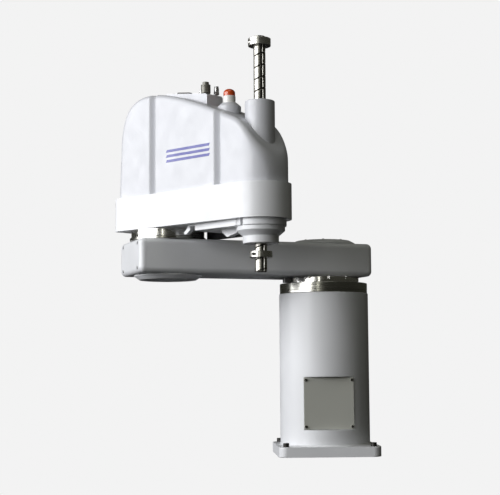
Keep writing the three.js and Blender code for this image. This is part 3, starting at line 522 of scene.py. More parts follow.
def add_panels():
    half_height = (PANEL_TOP - PANEL_BOTTOM) / 2 - 1.5
    middle = (PANEL_TOP + PANEL_BOTTOM) / 2
    panels = ((-1, "front_cover", "front_cover_plate"), (1, "rear_panel", "rear_connector_panel"))
    for side, name, node in panels:
        outline = rectangle(67, half_height, 3, steps=4)
        plate = prism(outline, 0, PANEL_THICKNESS, edge=0.7, steps=2, edges_at="top")
        for x, y in CORNERS:
            plate = combine(plate, rod(2.6, -1, 4, 20, at=(x * PANEL_SCREWS, y * PANEL_SCREWS)))
        moved(plate, panel_matrix(side, 0, middle, GAP))
        finish_piece(plate, name, BASE, "base", "paint_cover", PLATE_PAINT, [node])
    screw = socket_head(4, 2.5)
    for side, name in ((-1, "front_cover_screws"), (1, "rear_panel_screws")):
        places = [(x * PANEL_SCREWS, middle + z * PANEL_SCREWS) for x, z in CORNERS]
        group = [copy_of(screw, panel_matrix(side, x, z, 3.2 + GAP)) for x, z in places]
        nodes = [f"front_cover_screw_{i}" for i in (1, 2, 3, 4)] if side < 0 else []
        finish_piece(joined(group), name, BASE, "base", "steel", STEEL, nodes)
    discard(screw)


def add_mounting_bolts():
    seat = heights("mounting_bolt_1")[1] - BOLT_HEAD
    bolt = socket_head(8, BOLT_HEAD)
    parts = [copy_of(bolt, shift(*at, seat)) for at in BOLT_PLACES]
    discard(bolt)
    nodes = [f"mounting_bolt_{i}" for i in (1, 2, 3, 4)]
    finish_piece(joined(parts), "mounting_bolts", BASE, "base", "black_oxide", BLACK_OXIDE, nodes)
    washers = [tube(9.3, 6, seat - 1.4, seat - 0.6, 0.2, 40, at=at) for at in BOLT_PLACES]
    finish_piece(joined(washers), "bolt_washers", BASE, "base", "steel", STEEL)


def socket_shell(half_x, half_y, depth, corner, wall=3):
    """A rectangular connector housing, hollow and open at the top."""
    shell = prism(rectangle(half_x, half_y, corner, steps=5), 0, depth, edge=0.6, steps=2, edges_at="top")
    hollow = prism(rectangle(half_x - wall, half_y - wall, corner * 0.6, steps=5), 4, depth + 2)
    return combine(shell, hollow)


def pins(columns, rows, pitch, bottom, top, radius=0.8):
    grid = []
    for i in range(columns):
        for j in range(rows):
            at = ((i - (columns - 1) / 2) * pitch, (j - (rows - 1) / 2) * pitch)
            grid.append(rod(radius, bottom, top, 10, at=at))
    return joined(grid)


def add_rear_connectors():
    middle = (PANEL_TOP + PANEL_BOTTOM) / 2
    stand_off = PANEL_THICKNESS + 2 * GAP
    power = panel_matrix(1, 22, middle - 30, stand_off)
    signal = panel_matrix(1, 22, middle + 6, stand_off)
    air = panel_matrix(1, -36, middle - 30, stand_off)
    black = ("base", "black_plastic", BLACK_PLASTIC)
    finish_piece(moved(socket_shell(28, 14, 20, 4), power), "power_socket", BASE, *black, ["power_connector"])
    shell = moved(socket_shell(23, 12, 16, 4), signal)
    finish_piece(shell, "signal_socket", BASE, *black, ["signal_connector"])
    finish_piece(moved(pins(4, 2, 9, 3.5, 16, 1.6), power), "power_pins", BASE, "base", "steel", GOLD)
    finish_piece(moved(pins(9, 3, 4, 3.5, 12), signal), "signal_pins", BASE, "base", "steel", GOLD)
    finish_piece(moved(air_fitting(6.5, 18), air), "rear_air_port", BASE, *black, ["rear_air_fitting"])
    second = panel_matrix(1, -36, middle - 2, stand_off)
    finish_piece(moved(air_fitting(5, 15), second), "rear_air_port_2", BASE, *black)
    user = panel_matrix(1, 8, middle + 40, stand_off)
    finish_piece(moved(socket_shell(26, 6, 9, 3, 1.5), user), "rear_user_socket", BASE, *black)
    finish_piece(moved(pins(8, 2, 3.6, 3.5, 8), user), "rear_user_pins", BASE, "base", "steel", GOLD)


def air_fitting(radius, height):
    """A push-in fitting: a hexagonal foot, a neck and a release collar with a bore."""
    neck = height * 0.36
    foot = prism(arc((0, 0), radius * 1.12, 0, 300, 5), 0, neck, edge=0.5, steps=2)
    body = turned([
        (radius * 0.5, neck - 1), (radius * 0.9, neck - 1), (radius * 0.9, neck + 1.2), (radius, neck + 2),
        (radius, height * 0.8), (radius * 0.78, height * 0.84), (radius * 0.78, height * 0.9),
        (radius * 0.92, height * 0.92), (radius * 0.92, height), (radius * 0.5, height),
    ], 0.3, 48)
    bore = rod(radius * 0.5, height * 0.3, neck + 1, 48)
    return joined([combine(foot, bore), body])


# ---- Shoulder and elbow rings ----
def ring_with_scores(outer, inner, bottom, top, scores):
    """A turned ring with narrow scores cut round its outside."""
    points = [(inner, bottom), (outer, bottom)]
    for z in scores:
        points += [(outer, z - 0.9), (outer - 1.1, z - 0.4), (outer - 1.1, z + 0.4), (outer, z + 0.9)]
    points += [(outer, top), (inner, top)]
    sizes = [0.8] * 2 + [0] * (4 * len(scores)) + [1.2, 0.8]
    return lathe(fillet(points, sizes, steps=3), 128)


def add_shoulder_rings():
    bottom, top = heights("j1_reducer_case")
    radius = own_box("j1_reducer_case", BASE)[1].x
    case = ring_with_scores(radius, 62, bottom, top, [bottom + 7.5])
    finish_piece(case, "shoulder_case_ring", BASE, "base", "steel", STEEL, ["j1_reducer_case"])

    bottom, top = heights("j1_output_flange")
    radius = own_box("j1_output_flange", ARM_1)[1].x
    flange = ring_with_scores(radius, 45, bottom, top, [bottom + 5])
    for i in range(12):
        angle = math.radians(15 + 30 * i)
        at = ((radius - 1) * math.cos(angle), (radius - 1) * math.sin(angle))
        flange = combine(flange, rod(4.2, top - 7.5, top + 1, 24, at=at))
    finish_piece(
        flange, "shoulder_output_ring", ARM_1, "arm_1", "bright_steel", BRIGHT_STEEL, ["j1_output_flange"])

    low, high = own_box("j1_stop_block", ARM_1)
    stop = box(low, high, edge=1.2)
    finish_piece(stop, "shoulder_stop", ARM_1, "arm_1", "aluminium", ALUMINIUM, ["j1_stop_block"])


def add_elbow_rings():
    bottom, top = heights("j2_reducer_case")
    low, high = own_box("j2_reducer_case", ARM_1)
    radius = (high.y - low.y) / 2
    elbow = (ARM1_LENGTH, 0)
    case = moved(ring_with_scores(radius, 62, bottom, top, []), shift(*elbow, 0))
    finish_piece(case, "elbow_case_ring", ARM_1, "arm_1", "steel", STEEL, ["j2_reducer_case"])

    bottom, top = heights("j2_output_flange")
    radius = own_box("j2_output_flange", ARM_2)[1].x
    flange = ring_with_scores(radius, 30, bottom, top, [bottom + 4.5, bottom + 14])
    finish_piece(
        flange, "elbow_output_ring", ARM_2, "arm_2", "bright_steel", BRIGHT_STEEL, ["j2_output_flange"])


# ---- Arm 1 ----
CAP_SCREWS = [(72, 32), (-72, 32), (72, -32), (-72, -32)]
ARM1_EDGE = 14
CAP_ROUND = 13.5
LID_RADIUS = 90
LID_FACE = 76


def arm1_section(inset=0.0):
    low, high = own_box("arm1_housing", ARM_1)
    half_height = (high.z - low.z) / 2
    center = (0, (low.z + high.z) / 2)
    return rectangle(high.y - inset, half_height - inset, ARM1_EDGE - inset, center=center, steps=8)


def rounded_end(depth):
    """The end of the arm's section, rounded over towards its face."""
    layers = [(arm1_section(), 0)]
    for step in range(11):
        angle = math.radians(90 * step / 10)
        inset = CAP_ROUND * (1 - math.cos(angle))
        layers.append((arm1_section(inset), depth - CAP_ROUND * (1 - math.sin(angle))))
    return stacked(layers)


def along_arm(obj):
    """Stands a prism built on (across, up) along the arm."""
    turn = Matrix(((0, 0, 1, 0), (1, 0, 0, 0), (0, 1, 0, 0), (0, 0, 0, 1)))
    return moved(obj, turn)


def add_arm1():
    low, high = own_box("arm1_housing", ARM_1)
    body = along_arm(prism(arm1_section(), low.x, high.x, edge=0.5, steps=2))
    finish_piece(body, "arm1_beam", ARM_1, "arm_1", "paint_white", PAINT, ["arm1_housing"], 26)

    for side, end, node in ((-1, "shoulder", "arm1_shoulder_cap"), (1, "elbow", "arm1_elbow_cap")):
        cap_low, cap_high = own_box(node, ARM_1)
        depth = cap_high.x - cap_low.x
        face = cap_high.x if side > 0 else cap_low.x
        cap = rounded_end(depth)
        middle = (cap_low.z + cap_high.z) / 2
        for y, z in CAP_SCREWS:
            recess = rod(4.8, depth - 4, depth + 2, 32, at=(y, middle + z))
            cap = combine(cap, recess)
        along_arm(cap)
        if side < 0:
            moved(cap, Matrix.Scale(-1, 4, (1, 0, 0)))
            cap.data.flip_normals()
        moved(cap, shift(face - side * depth, 0, 0))
        finish_piece(cap, f"arm1_{end}_end", ARM_1, "arm_1", "paint_white", PAINT, [node], 26)

        screw = socket_head(4.1, 2.6)
        turn = turn_about("Y", 90 if side > 0 else -90)
        group = [copy_of(screw, shift(face - side * 3.4, y, middle + z) @ turn) for y, z in CAP_SCREWS]
        discard(screw)
        nodes = [f"elbow_cap_screw_{i}" for i in (1, 2, 3, 4)] if side > 0 else []
        finish_piece(joined(group), f"{end}_cap_screws", ARM_1, "arm_1", "steel", BLACK_OXIDE, nodes)


def add_lids():
    seat, face = heights("j1_top_lid")
    outline = [(0, seat), (LID_RADIUS, seat), (LID_RADIUS, seat + 4.5), (LID_FACE, face), (0, face)]
    lid = turned(outline, 3, steps=5)
    lid = combine(lid, tube(60, 58.4, face - 0.6, face + 2, 0))
    finish_piece(lid, "shoulder_top_lid", ARM_1, "arm_1", "paint_white", PAINT, ["j1_top_lid"])

    face, seat = heights("j2_bottom_lid")
    outline = [(0, face), (LID_FACE, face), (LID_RADIUS, seat - 2.7), (LID_RADIUS, seat), (0, seat)]
    lid = turned(outline, 2, steps=5, at=(ARM1_LENGTH, 0))
    finish_piece(lid, "elbow_bottom_lid", ARM_1, "arm_1", "paint_white", PAINT, ["j2_bottom_lid"])
    screws = []
    screw = socket_head(3, 1.6, 24)
    for i in range(8):
        angle = math.radians(22.5 + 45 * i)
        place = shift(68 * math.cos(angle), 68 * math.sin(angle), 0)
        screws.append(copy_of(screw, place @ shift(0, 0, heights("j1_top_lid")[1] + 0.1)))
    discard(screw)
    finish_piece(joined(screws), "top_lid_screws", ARM_1, "arm_1", "steel", STEEL)


# ---- Arm 2: casting ----
CASTING_LOW, CASTING_HIGH = own_box("arm2_casting", ARM_2)
ARM2_BACK = -CASTING_LOW.x
BACK_HALF = CASTING_HIGH.y
NOSE = CASTING_HIGH.x - ARM2_LENGTH
LEAN = math.acos(NOSE / math.hypot(ARM2_LENGTH + ARM2_BACK, BACK_HALF)) - math.atan2(
    ARM2_LENGTH + ARM2_BACK, BACK_HALF)
FLOOR_BOTTOM = heights("j2_output_flange")[1] + GAP
RIM = CASTING_HIGH.z
BACK_CORNER = 16
COVER_INSET = 8


def side_at(along, inset):
    """Half the plan's width at a distance along the arm."""
    reach = ARM2_LENGTH * math.sin(LEAN) + NOSE - inset
    return (reach - along * math.sin(LEAN)) / math.cos(LEAN)


def arm2_plan(inset, steps=40):
    back = -ARM2_BACK + inset
    half = side_at(back, inset)
    sweep = 90 - math.degrees(LEAN)
    nose = arc((ARM2_LENGTH, 0), NOSE - inset, -sweep, sweep, steps)
    corner = max(BACK_CORNER - inset, 3)
    points = [Vector((back, half)), Vector((back, -half))] + nose
    return fillet(points, [corner, corner] + [0] * len(nose), steps=8)


def add_casting():
    tray = prism(arm2_plan(0), FLOOR_BOTTOM, RIM, edge=2.2, steps=3)
    pocket = prism(arm2_plan(14), FLOOR_BOTTOM + 12, RIM + 2)
    tray = combine(tray, pocket)
    boss_bottom = CASTING_LOW.z
    lower, middle, upper = 44.6, 60, 64
    cone_bottom, cone_top, step_bottom = 560, 573, 584
    boss = lathe(fillet([
        (17, boss_bottom), (lower, boss_bottom), (lower, cone_bottom), (middle, cone_top),
        (middle, step_bottom), (upper, step_bottom), (upper, FLOOR_BOTTOM + 3), (31, FLOOR_BOTTOM + 3),
        (31, boss_bottom + 5), (17, boss_bottom + 5),
    ], [0.6, 2, 3, 2.5, 1, 1.6, 0, 0, 0, 0], steps=5), 128, at=(ARM2_LENGTH, 0))
    boss = combine(boss, box((343, -upper - 2, step_bottom - 1), (353, 7 - upper, FLOOR_BOTTOM + 4)))
    body = combine(tray, boss, "UNION")
    body = combine(body, rod(30.8, boss_bottom + 6, FLOOR_BOTTOM + 20, 96, at=(ARM2_LENGTH, 0)))
    body = combine(body, rod(29, FLOOR_BOTTOM - 4, FLOOR_BOTTOM + 20, 64))
    finish_piece(body, "arm2_tray", ARM_2, "arm_2", "paint_white", PAINT, ["arm2_casting"], 26)


DUCT_DEPTH = 16
LINK_DEPTH = 4
SKIRT = [(72, 75.5), (240, 66.5), (240, 78.5), (58, 88)]
SKIRT_DEPTH = 25
STRUT = [(226, 586), (232, 578), (250, 565), (300, 577), (300, 586)]
HOOK = [(144, 600.7), (144, 591), (132, 584), (132, 578), (140, 577.5), (155, 587), (155, 600.7)]


def add_hose_duct():
    """The duct under the casting, with a strut below it, a hook at its end and a skirt on its far side,
    coloured black as painted shade.
    """
    low, high = own_box("arm2_hose_channel", ARM_2)
    top = high.z
    near, far, start, end = -62, 38, 168, 332
    center = ((start + end) / 2, (near + far) / 2)
    plan = rectangle((end - start) / 2, (far - near) / 2, 12, center=center, steps=8)
    duct = prism(plan, top - DUCT_DEPTH, top, edge=1.6, steps=3, edges_at="bottom")
    skirt = prism(SKIRT, top - SKIRT_DEPTH, top, edge=1.2, steps=2, edges_at="bottom")
    far_link = box((start + 12, far - 12, top - LINK_DEPTH), (230, 72, top))
    near_link = box((150, -60, top - LINK_DEPTH), (start + 12, -48, top))
    strut = side_bar(fillet(STRUT, [0, 3, 3, 3, 0]), -20, -4)
    hook = side_bar(fillet(HOOK, [0, 5, 3, 3, 4, 6, 0]), -60, -48, 2.5)
    for solid in (far_link, near_link, strut, hook):
        duct = combine(duct, solid, "UNION")
    duct = combine(duct, rod(64.3, top - 2 * DUCT_DEPTH, top + 1, 128, at=(ARM2_LENGTH, 0)))
    finish_piece(duct, "hose_duct", ARM_2, "arm_2", "paint_white", PAINT, ["arm2_hose_channel"])
    # The skirt is black as painted shade: it stands for the dark shade under the casting's far side.
    finish_piece(skirt, "duct_skirt_shade_black", ARM_2, "arm_2", "rubber", RUBBER_AND_SHADE_BLACK)


# ---- Arm 2: cover ----
GROOVES = [(22, 50), (257, 285)]
GROOVE_DEPTH = 12
GROOVE_LOWEST = 0.6
CROWN_EDGE = 12
COVER_WALL = 5


def bezier(start, handle_1, handle_2, end, steps):
    points = []
    for i in range(1, steps + 1):
        t = i / steps
        weights = ((1 - t) ** 3, 3 * t * (1 - t) ** 2, 3 * t * t * (1 - t), t ** 3)
        points.append(tuple(
            sum(w * p[k] for w, p in zip(weights, (start, handle_1, handle_2, end))) for k in (0, 1)
        ))
    return points


def crown_line():
    """The crown seen from the side, from the nose over the top to the back."""
    line = [(420, RIM - 40), (420, RIM)]
    line += bezier((420, RIM), (420, 725), (410, 755), (398, 772), 12)
    line += bezier((398, 772), (370, 811), (353, 843), (321, 857), 20)
    line += bezier((321, 857), (205, 908), (50, 975), (-25, 948), 30)
    line += bezier((-25, 948), (-62, 935), (-86, 905), (-90, 830), 20)
    line += [(-97, RIM - 12), (-98, RIM - 40)]
    return np.array(line)


CROWN = crown_line()


def crown_distance(points):
    """Signed distance of (along, height) points from the crown line, negative inside."""
    start, end = CROWN[:-1], CROWN[1:]
    way = end - start
    length_2 = (way ** 2).sum(1)
    offset = points[:, None, :] - start[None]
    t = np.clip((offset * way).sum(2) / length_2, 0, 1)
    gap = offset - t[..., None] * way
    distance_2 = (gap ** 2).sum(2)
    nearest = distance_2.argmin(1)
    rows = np.arange(len(points))
    side = way[nearest, 0] * offset[rows, nearest, 1] - way[nearest, 1] * offset[rows, nearest, 0]
    return np.sqrt(distance_2[rows, nearest]) * np.where(side > 0, -1, 1)


def plan_distance(along, across, inset):
    """Signed distance from the plan outline, negative inside."""
    across = np.abs(across)
    reach = ARM2_LENGTH * math.sin(LEAN) + NOSE - inset
    side = along * math.sin(LEAN) + across * math.cos(LEAN) - reach
    nose = np.hypot(along - ARM2_LENGTH, across) - (NOSE - inset)
    beyond = np.arctan2(across, along - ARM2_LENGTH) < math.pi / 2 - LEAN
    flank = np.where(beyond, nose, side)
    back = -(ARM2_BACK - inset) - along
    return rounded_both(flank, back, BACK_CORNER - inset + 2)


def rounded_both(a, b, radius):
    """Distance from the shape inside both a and b, with the edge between them rounded."""
    raised_a, raised_b = a + radius, b + radius
    outside = np.hypot(np.maximum(raised_a, 0), np.maximum(raised_b, 0))
    return np.minimum(np.maximum(raised_a, raised_b), 0) + outside - radius


def groove_depth(along):
    depth = np.zeros_like(along)
    for start, end in GROOVES:
        share = np.clip((along - start) / (end - start), 0, 1)
        rise = np.where(share < GROOVE_LOWEST, share / GROOVE_LOWEST, (1 - share) / (1 - GROOVE_LOWEST))
        depth += GROOVE_DEPTH * (1 - np.cos(math.pi * rise)) / 2
    return depth


def cover_columns():
    """(spine point, plan direction) for each column of the cover's surface, going round the plan."""
    back_center = -ARM2_BACK + 60
    side = list(np.linspace(back_center, ARM2_LENGTH, 90))
    for start, end in GROOVES:
        side = [u for u in side if not start - 1 < u < end + 1] + list(np.linspace(start, end, 25))
    side = sorted(side)
    columns = [((u, 0), -90) for u in side]
    columns += [((ARM2_LENGTH, 0), angle) for angle in np.linspace(-90, 90, 61)[1:-1]]
    columns += [((u, 0), 90) for u in reversed(side)]
    columns += [((back_center, 0), angle) for angle in np.linspace(90, 270, 73)[1:-1]]
    return columns


def cover_surface(inset, lift=0.0, wall_steps=16, top_steps=22):
    """The cover's outside as a closed solid, found by marching from its spine out to the rounded shape."""
    columns = cover_columns()
    spine = np.array([c[0] for c in columns])
    angle = np.radians([c[1] for c in columns])
    direction = np.stack([np.cos(angle), np.sin(angle)], 1)
    base = RIM + GAP

    def outside(depth, height):
        plan = spine + direction * depth[:, None]
        wall = plan_distance(plan[:, 0], plan[:, 1], inset) + groove_depth(plan[:, 0])
        crown = crown_distance(np.stack([plan[:, 0], height - lift], 1))
        return rounded_both(wall, crown, CROWN_EDGE)

    def march(towards_depth, towards_height):
        """The farthest point inside, from the spine at the rim along each given direction."""
        near, far = np.zeros(len(spine)), np.full(len(spine), 1.6)
        for _ in range(26):
            middle = (near + far) / 2
            is_out = outside(towards_depth * middle, base + towards_height * middle) > 0
            far = np.where(is_out, middle, far)
            near = np.where(is_out, near, middle)
        return near

    flat = np.zeros(len(spine))
    reach = march(np.full(len(spine), 120.0), flat) * 120
    top = march(flat, np.full(len(spine), 330.0)) * 330
    rows = []
    for i in range(wall_steps + top_steps + 1):
        if i <= wall_steps:
            share = 1 - (1 - i / wall_steps) ** 1.6
            depth, height = reach, top * share
        else:
            share = ((i - wall_steps) / top_steps) ** 1.5
            depth, height = reach * (1 - share), top
        scale = march(depth, height)
        plan = spine + direction * (depth * scale)[:, None]
        rows.append(np.column_stack([plan, base + height * scale]))
    bm = bmesh.new()
    grid = [[bm.verts.new(point) for point in row] for row in rows]
    for lower, upper in zip(grid, grid[1:]):
        bridge(bm, lower, upper)
    bm.faces.new(list(reversed(grid[0])))
    bmesh.ops.remove_doubles(bm, verts=bm.verts, dist=0.02)
    bmesh.ops.dissolve_degenerate(bm, dist=0.01, edges=bm.edges)
    return to_object(bm)


def add_cover():
    low, high = own_box("shaft_tube", ARM_2)
    cover = cover_surface(COVER_INSET)
    inner = cover_surface(COVER_INSET + COVER_WALL, lift=-COVER_WALL)
    moved(inner, shift(0, 0, -1))
    cover = combine(cover, inner)
    cover = combine(cover, rod((high.y - low.y) / 2 + GAP, low.z, high.z, 96, at=(ARM2_LENGTH, 0)))
    finish_piece(cover, "outer_cover", ARM_2, "arm_2", "cover_white", COVER_PAINT, ["arm2_cover"], 40)


STRIPE = [(88, 0), (243, 0), (247, 7), (92, 7)]
STRIPE_BOTTOMS = [766, 779, 792]
STRIPE_DEPTHS = (-0.3, 0.25)


def add_marks():
    """Plain blue stripes on both sides of the cover, just proud of it."""
    stripes = []
    for side in (-1, 1):
        for bottom in STRIPE_BOTTOMS:
            bm = bmesh.new()
            corners = []
            for depth in STRIPE_DEPTHS:
                for along, height in STRIPE:
                    wall = side_at(along, COVER_INSET) + depth
                    corners.append(bm.verts.new((along, side * wall, bottom + height)))
            a, b = corners[:4], corners[4:]
            bm.faces.new(a)
            bm.faces.new(list(reversed(b)))
            for i in range(4):
                j = (i + 1) % 4
                bm.faces.new((a[j], a[i], b[i], b[j]))
            stripes.append(to_object(bm))
    finish_piece(joined(stripes), "side_stripes", ARM_2, "arm_2", "cover_white", MARK_BLUE)


def add_tube():
    low, high = own_box("shaft_tube", ARM_2)
    radius = (high.y - low.y) / 2
    guard = tube(radius, 31.5, low.z, high.z, 2.4, 128, at=(ARM2_LENGTH, 0))
    finish_piece(guard, "shaft_guard", ARM_2, "arm_2", "cover_white", COVER_PAINT, ["shaft_tube"])


# ---- Top fittings ----
DECK_FOOT = 869
DECK_FRONT = 941
DECK_RUN = 166


def add_user_panel(standing):
    low, high = own_box("user_panel", ARM_2)
    outline = fillet([
        (low.x, DECK_FOOT), (high.x, DECK_FOOT), (high.x, DECK_FRONT), (low.x, high.z),
    ], [0, 0, 5, 6], steps=6)
    half = high.y
    bm = bmesh.new()
    near = [bm.verts.new((p[0], -half, p[1])) for p in outline]
    far = [bm.verts.new((p[0], half, p[1])) for p in outline]
    bm.faces.new(near)
    bm.faces.new(list(reversed(far)))
    for i in range(len(outline)):
        j = (i + 1) % len(outline)
        bm.faces.new((near[j], near[i], far[i], far[j]))
    rims = [e for e in bm.edges if abs(e.verts[0].co.y - e.verts[1].co.y) < 1e-6
            and min(e.verts[0].co.z, e.verts[1].co.z) > DECK_FOOT + 1]
    round_edges(bm, rims, 3, 4)
    panel = combine(to_object(bm), standing, keep=True)
    finish_piece(panel, "user_deck", ARM_2, "arm_2", "cover_white", COVER_PAINT, ["user_panel"])


def deck_height(along):
    low, high = own_box("user_panel", ARM_2)
    return high.z + (DECK_FRONT - high.z) * (along - low.x) / (high.x - low.x)


def add_user_connectors():
    slope = math.degrees(math.atan2(own_box("user_panel", ARM_2)[1].z - DECK_FRONT, DECK_RUN))
    place = shift(68, 0, deck_height(68) + 1) @ turn_about("Y", slope)
    shell = moved(socket_shell(24, 6.5, 6, 3, 2), place)
    finish_piece(shell, "user_socket", ARM_2, "arm_2", "black_oxide", BLACK_OXIDE, ["user_signal_connector"])
    contacts = moved(pins(9, 2, 3.6, 3.5, 5.5, 0.7), place)
    finish_piece(contacts, "user_socket_pins", ARM_2, "arm_2", "bright_steel", GOLD)
    screws = joined([moved(socket_head(2.6, 2.2, 24), place @ shift(x, 0, 0.4)) for x in (-29, 29)])
    finish_piece(screws, "user_socket_screws", ARM_2, "arm_2", "black_oxide", BLACK_OXIDE)
    for index, (x, y, height) in enumerate(((176, 15, 22), (120, 15, 14)), 1):
        fitting = moved(air_fitting(6.5, height), shift(x, y, deck_height(x) + 2))
        finish_piece(fitting, f"user_air_port_{index}", ARM_2, "arm_2", "bright_steel", ALUMINIUM,
                     [f"user_air_fitting_{index}"])


def add_brake_switch():
    low, high = own_box("brake_switch_body", ARM_2)
    center = ((low.x + high.x) / 2, (low.y + high.y) / 2)
    cup = turned([
        (0, low.z), (12.5, low.z), (12.5, high.z - 6), (11.8, high.z - 5.4), (11.8, high.z - 4.4),
        (12.5, high.z - 3.8), (12.5, high.z), (9, high.z), (9, low.z + 5), (0, low.z + 5),
    ], 0.5, 64, at=center)
    finish_piece(cup, "brake_switch", ARM_2, "arm_2", "black_plastic", SWITCH_GREY, ["brake_switch_body"])
    bottom, top = heights("brake_button")
    button = turned([(0, bottom), (8.4, bottom), (8.4, top), (0, top - 0.8)], 1.6, 64, at=center, steps=6)
    finish_piece(button, "brake_release_button", ARM_2, "brake_button", "black_plastic", SWITCH_GREY,
                 ["brake_button"])


def add_lamp(standing):
    low, high = own_box("lamp_collar", ARM_2)
    center = ((low.x + high.x) / 2, (low.y + high.y) / 2)
    seat = low.z - GAP
    cone = turned([
        (0, 865), (30, 865), (30, seat - 9), (20, seat), (0, seat),
    ], 2.5, at=center)
    cone = combine(cone, standing, keep=True)
    finish_piece(cone, "lamp_cone", ARM_2, "arm_2", "cover_white", COVER_PAINT, ["lamp_base"])
    collar = turned([
        (0, low.z), (16, low.z), (16, low.z + 4), (15.3, low.z + 4.6), (15.3, low.z + 5.4), (16, low.z + 6),
        (16, high.z - 1.5), (15, high.z), (0, high.z),
    ], 0.5, at=center)
    finish_piece(collar, "lamp_ring", ARM_2, "arm_2", "lamp_white", LAMP_WHITE, ["lamp_collar"])
    bottom, top = heights("lamp_dome")
    radius = 15
    rise = top - bottom
    wall = [(radius, bottom), (radius, bottom + rise * 0.42)]
    crown = [(radius * math.cos(a), bottom + rise * 0.42 + rise * 0.58 * math.sin(a))
             for a in (math.radians(90 * i / 12) for i in range(1, 12))]
    dome = lathe([(0, bottom)] + wall + crown + [(0, top)], 64, at=center)
    finish_piece(dome, "lamp_lens", ARM_2, "arm_2", "lamp_orange", LAMP_LENS, ["lamp_dome"])


# ---- Shaft ----
LEAD = 30
SHAFT_BORE = 9.0
SHAFT_FACETS = 120
GROOVE_HALF = 3.0
GROOVE_CUT = 1.6
FULL_TURN = 2 * math.pi


def add_shaft():
    """The hollow shaft with a helical ball groove and three straight spline grooves."""
    low, high = own_box("z_shaft", QUILL_FRAME)
    radius = 15.0
    helix_cosine = math.cos(math.atan(LEAD / (FULL_TURN * radius)))
    angles = [FULL_TURN * i / SHAFT_FACETS for i in range(SHAFT_FACETS)]
    bottom, top = low.z, high.z
    levels = [bottom, bottom + 0.6, bottom + 1.2]
    levels += list(np.arange(bottom + 2.4, top - 2, 1.5))
    levels += [top - 1.2, top - 0.6, top]
    bm = bmesh.new()
    rings = []
    for z in levels:
        chamfer = max(0, 1.2 - min(z - bottom, top - z))
        ring = []
        for angle in angles:
            helix = (angle - FULL_TURN * z / LEAD) % FULL_TURN
            off_helix = min(helix, FULL_TURN - helix) * radius * helix_cosine
            thirds = (angle + 0.4) % (FULL_TURN / 3)
            off_spline = min(thirds, FULL_TURN / 3 - thirds) * radius
            depth = 0.0
            for offset, half in ((off_helix, GROOVE_HALF), (off_spline, GROOVE_HALF * 0.9)):
                if offset < half:
                    depth = max(depth, GROOVE_CUT * math.sqrt(1 - (offset / half) ** 2))
            r = radius - max(depth, chamfer)
            ring.append(bm.verts.new((r * math.cos(angle), r * math.sin(angle), z)))
        rings.append(ring)
    inside = [
        [bm.verts.new((SHAFT_BORE * math.cos(a), SHAFT_BORE * math.sin(a), z)) for a in angles]
        for z in (top, bottom)
    ]
    loops = rings + inside
    for k, ring in enumerate(loops):
        following = loops[(k + 1) % len(loops)]
        for i in range(SHAFT_FACETS):
            j = (i + 1) % SHAFT_FACETS
            face = bm.faces.new((ring[i], ring[j], following[j], following[i]))
            if k < len(rings) - 1:
                # Faces sunk in the grooves get the dark steel, as painted shade.
                face.material_index = 1 if face.calc_center_median().to_2d().length < radius - 0.55 else 0
    shaft = to_object(bm)
    shaft.data.materials.append(SHAFT_STEEL)
    shaft.data.materials.append(GROOVE_SHADE_STEEL)
    finish_piece(
        shaft, "ball_screw_shaft", QUILL_FRAME, "shaft", "bright_steel", SHAFT_STEEL, ["z_shaft"], 38)


def clamp_collar(node, name, slot_angle):
    """A collar split on one side, with its clamp screw sunk beside the split."""
    low, high = own_box(node, QUILL_FRAME)
    bottom, top = low.z, high.z
    middle = (bottom + top) / 2
    collar = tube(28.4, 15.2, bottom, top, 1.2, 96)
    slot = box((12, -0.8, bottom - 2), (32, 0.8, top + 2))
    across = shift(22, 0, middle) @ turn_about("X", 90)
    hole = moved(rod(4.4, 9, 40, 32), across)
    collar = combine(combine(collar, slot), hole)
    screw = moved(socket_head(4.2, 3), across @ shift(0, 0, 9.2))
    turn = turn_about("Z", slot_angle)
    finish_piece(moved(collar, turn), name, QUILL_FRAME, "shaft", "steel", COLLAR_STEEL, [node])
    finish_piece(moved(screw, turn), f"{name}_screw", QUILL_FRAME, "shaft", "black_oxide", BLACK_OXIDE)


# ---- Inner CAD nodes that stay as they are ----
INNER = {
    "j1_motor": MOTOR_BLACK, "j2_motor": MOTOR_BLACK, "j3_motor": MOTOR_BLACK, "j4_motor": MOTOR_BLACK,
    "arm1_harness": RUBBER_AND_SHADE_BLACK, "j3_belt": RUBBER_AND_SHADE_BLACK, "j4_belt": RUBBER_AND_SHADE_BLACK,
    "j3_motor_stand": ALUMINIUM, "j4_motor_stand": ALUMINIUM, "nut_bridge": ALUMINIUM,
    "j3_motor_pulley": ALUMINIUM, "j4_motor_pulley": ALUMINIUM, "spline_nut_pulley": ALUMINIUM,
    "ball_nut_pulley": ALUMINIUM, "spline_nut": STEEL, "ball_nut": STEEL,
}


def finish_inner_nodes():
    for node, material in INNER.items():
        mesh = frame["nodes"][node].data
        mesh.materials.clear()
        mesh.materials.append(material)


# ---- Studio ----
def area_light(name, place, target, size, power, color):
    light = bpy.data.lights.new(name, "AREA")
    light.shape = "RECTANGLE"
    light.size, light.size_y = size
    light.energy = power
    light.color = color
    obj = bpy.data.objects.new(name, light)
    obj.location = place
    obj.rotation_euler = (Vector(target) - Vector(place)).to_track_quat("-Z", "Y").to_euler()
    bpy.context.scene.collection.objects.link(obj)
    return obj


# Each light: its heading round the robot, distance, height, size, power and colour.
LIGHTS = [
    ("key", 200, 6.0, 1.9, (7.6, 3.0), 500, (0.975, 0.98, 1.0)),
    ("top", 275, 1.6, 3.6, (2.4, 1.6), 14, (1.0, 1.0, 0.93)),
    ("strip middle", 232, 4.5, 1.1, (0.16, 2.2), 5, (1.0, 1.0, 0.93)),
    ("strip front", 252, 4.5, 1.1, (0.14, 2.2), 7, (1.0, 1.0, 0.90)),
]
LIGHT_TARGET = (-0.2, -0.1, 0.6)
BACKDROP = 0.896
FLOOR_TONE = 0.05
ROOM = (0.042, 0.042, 0.034)


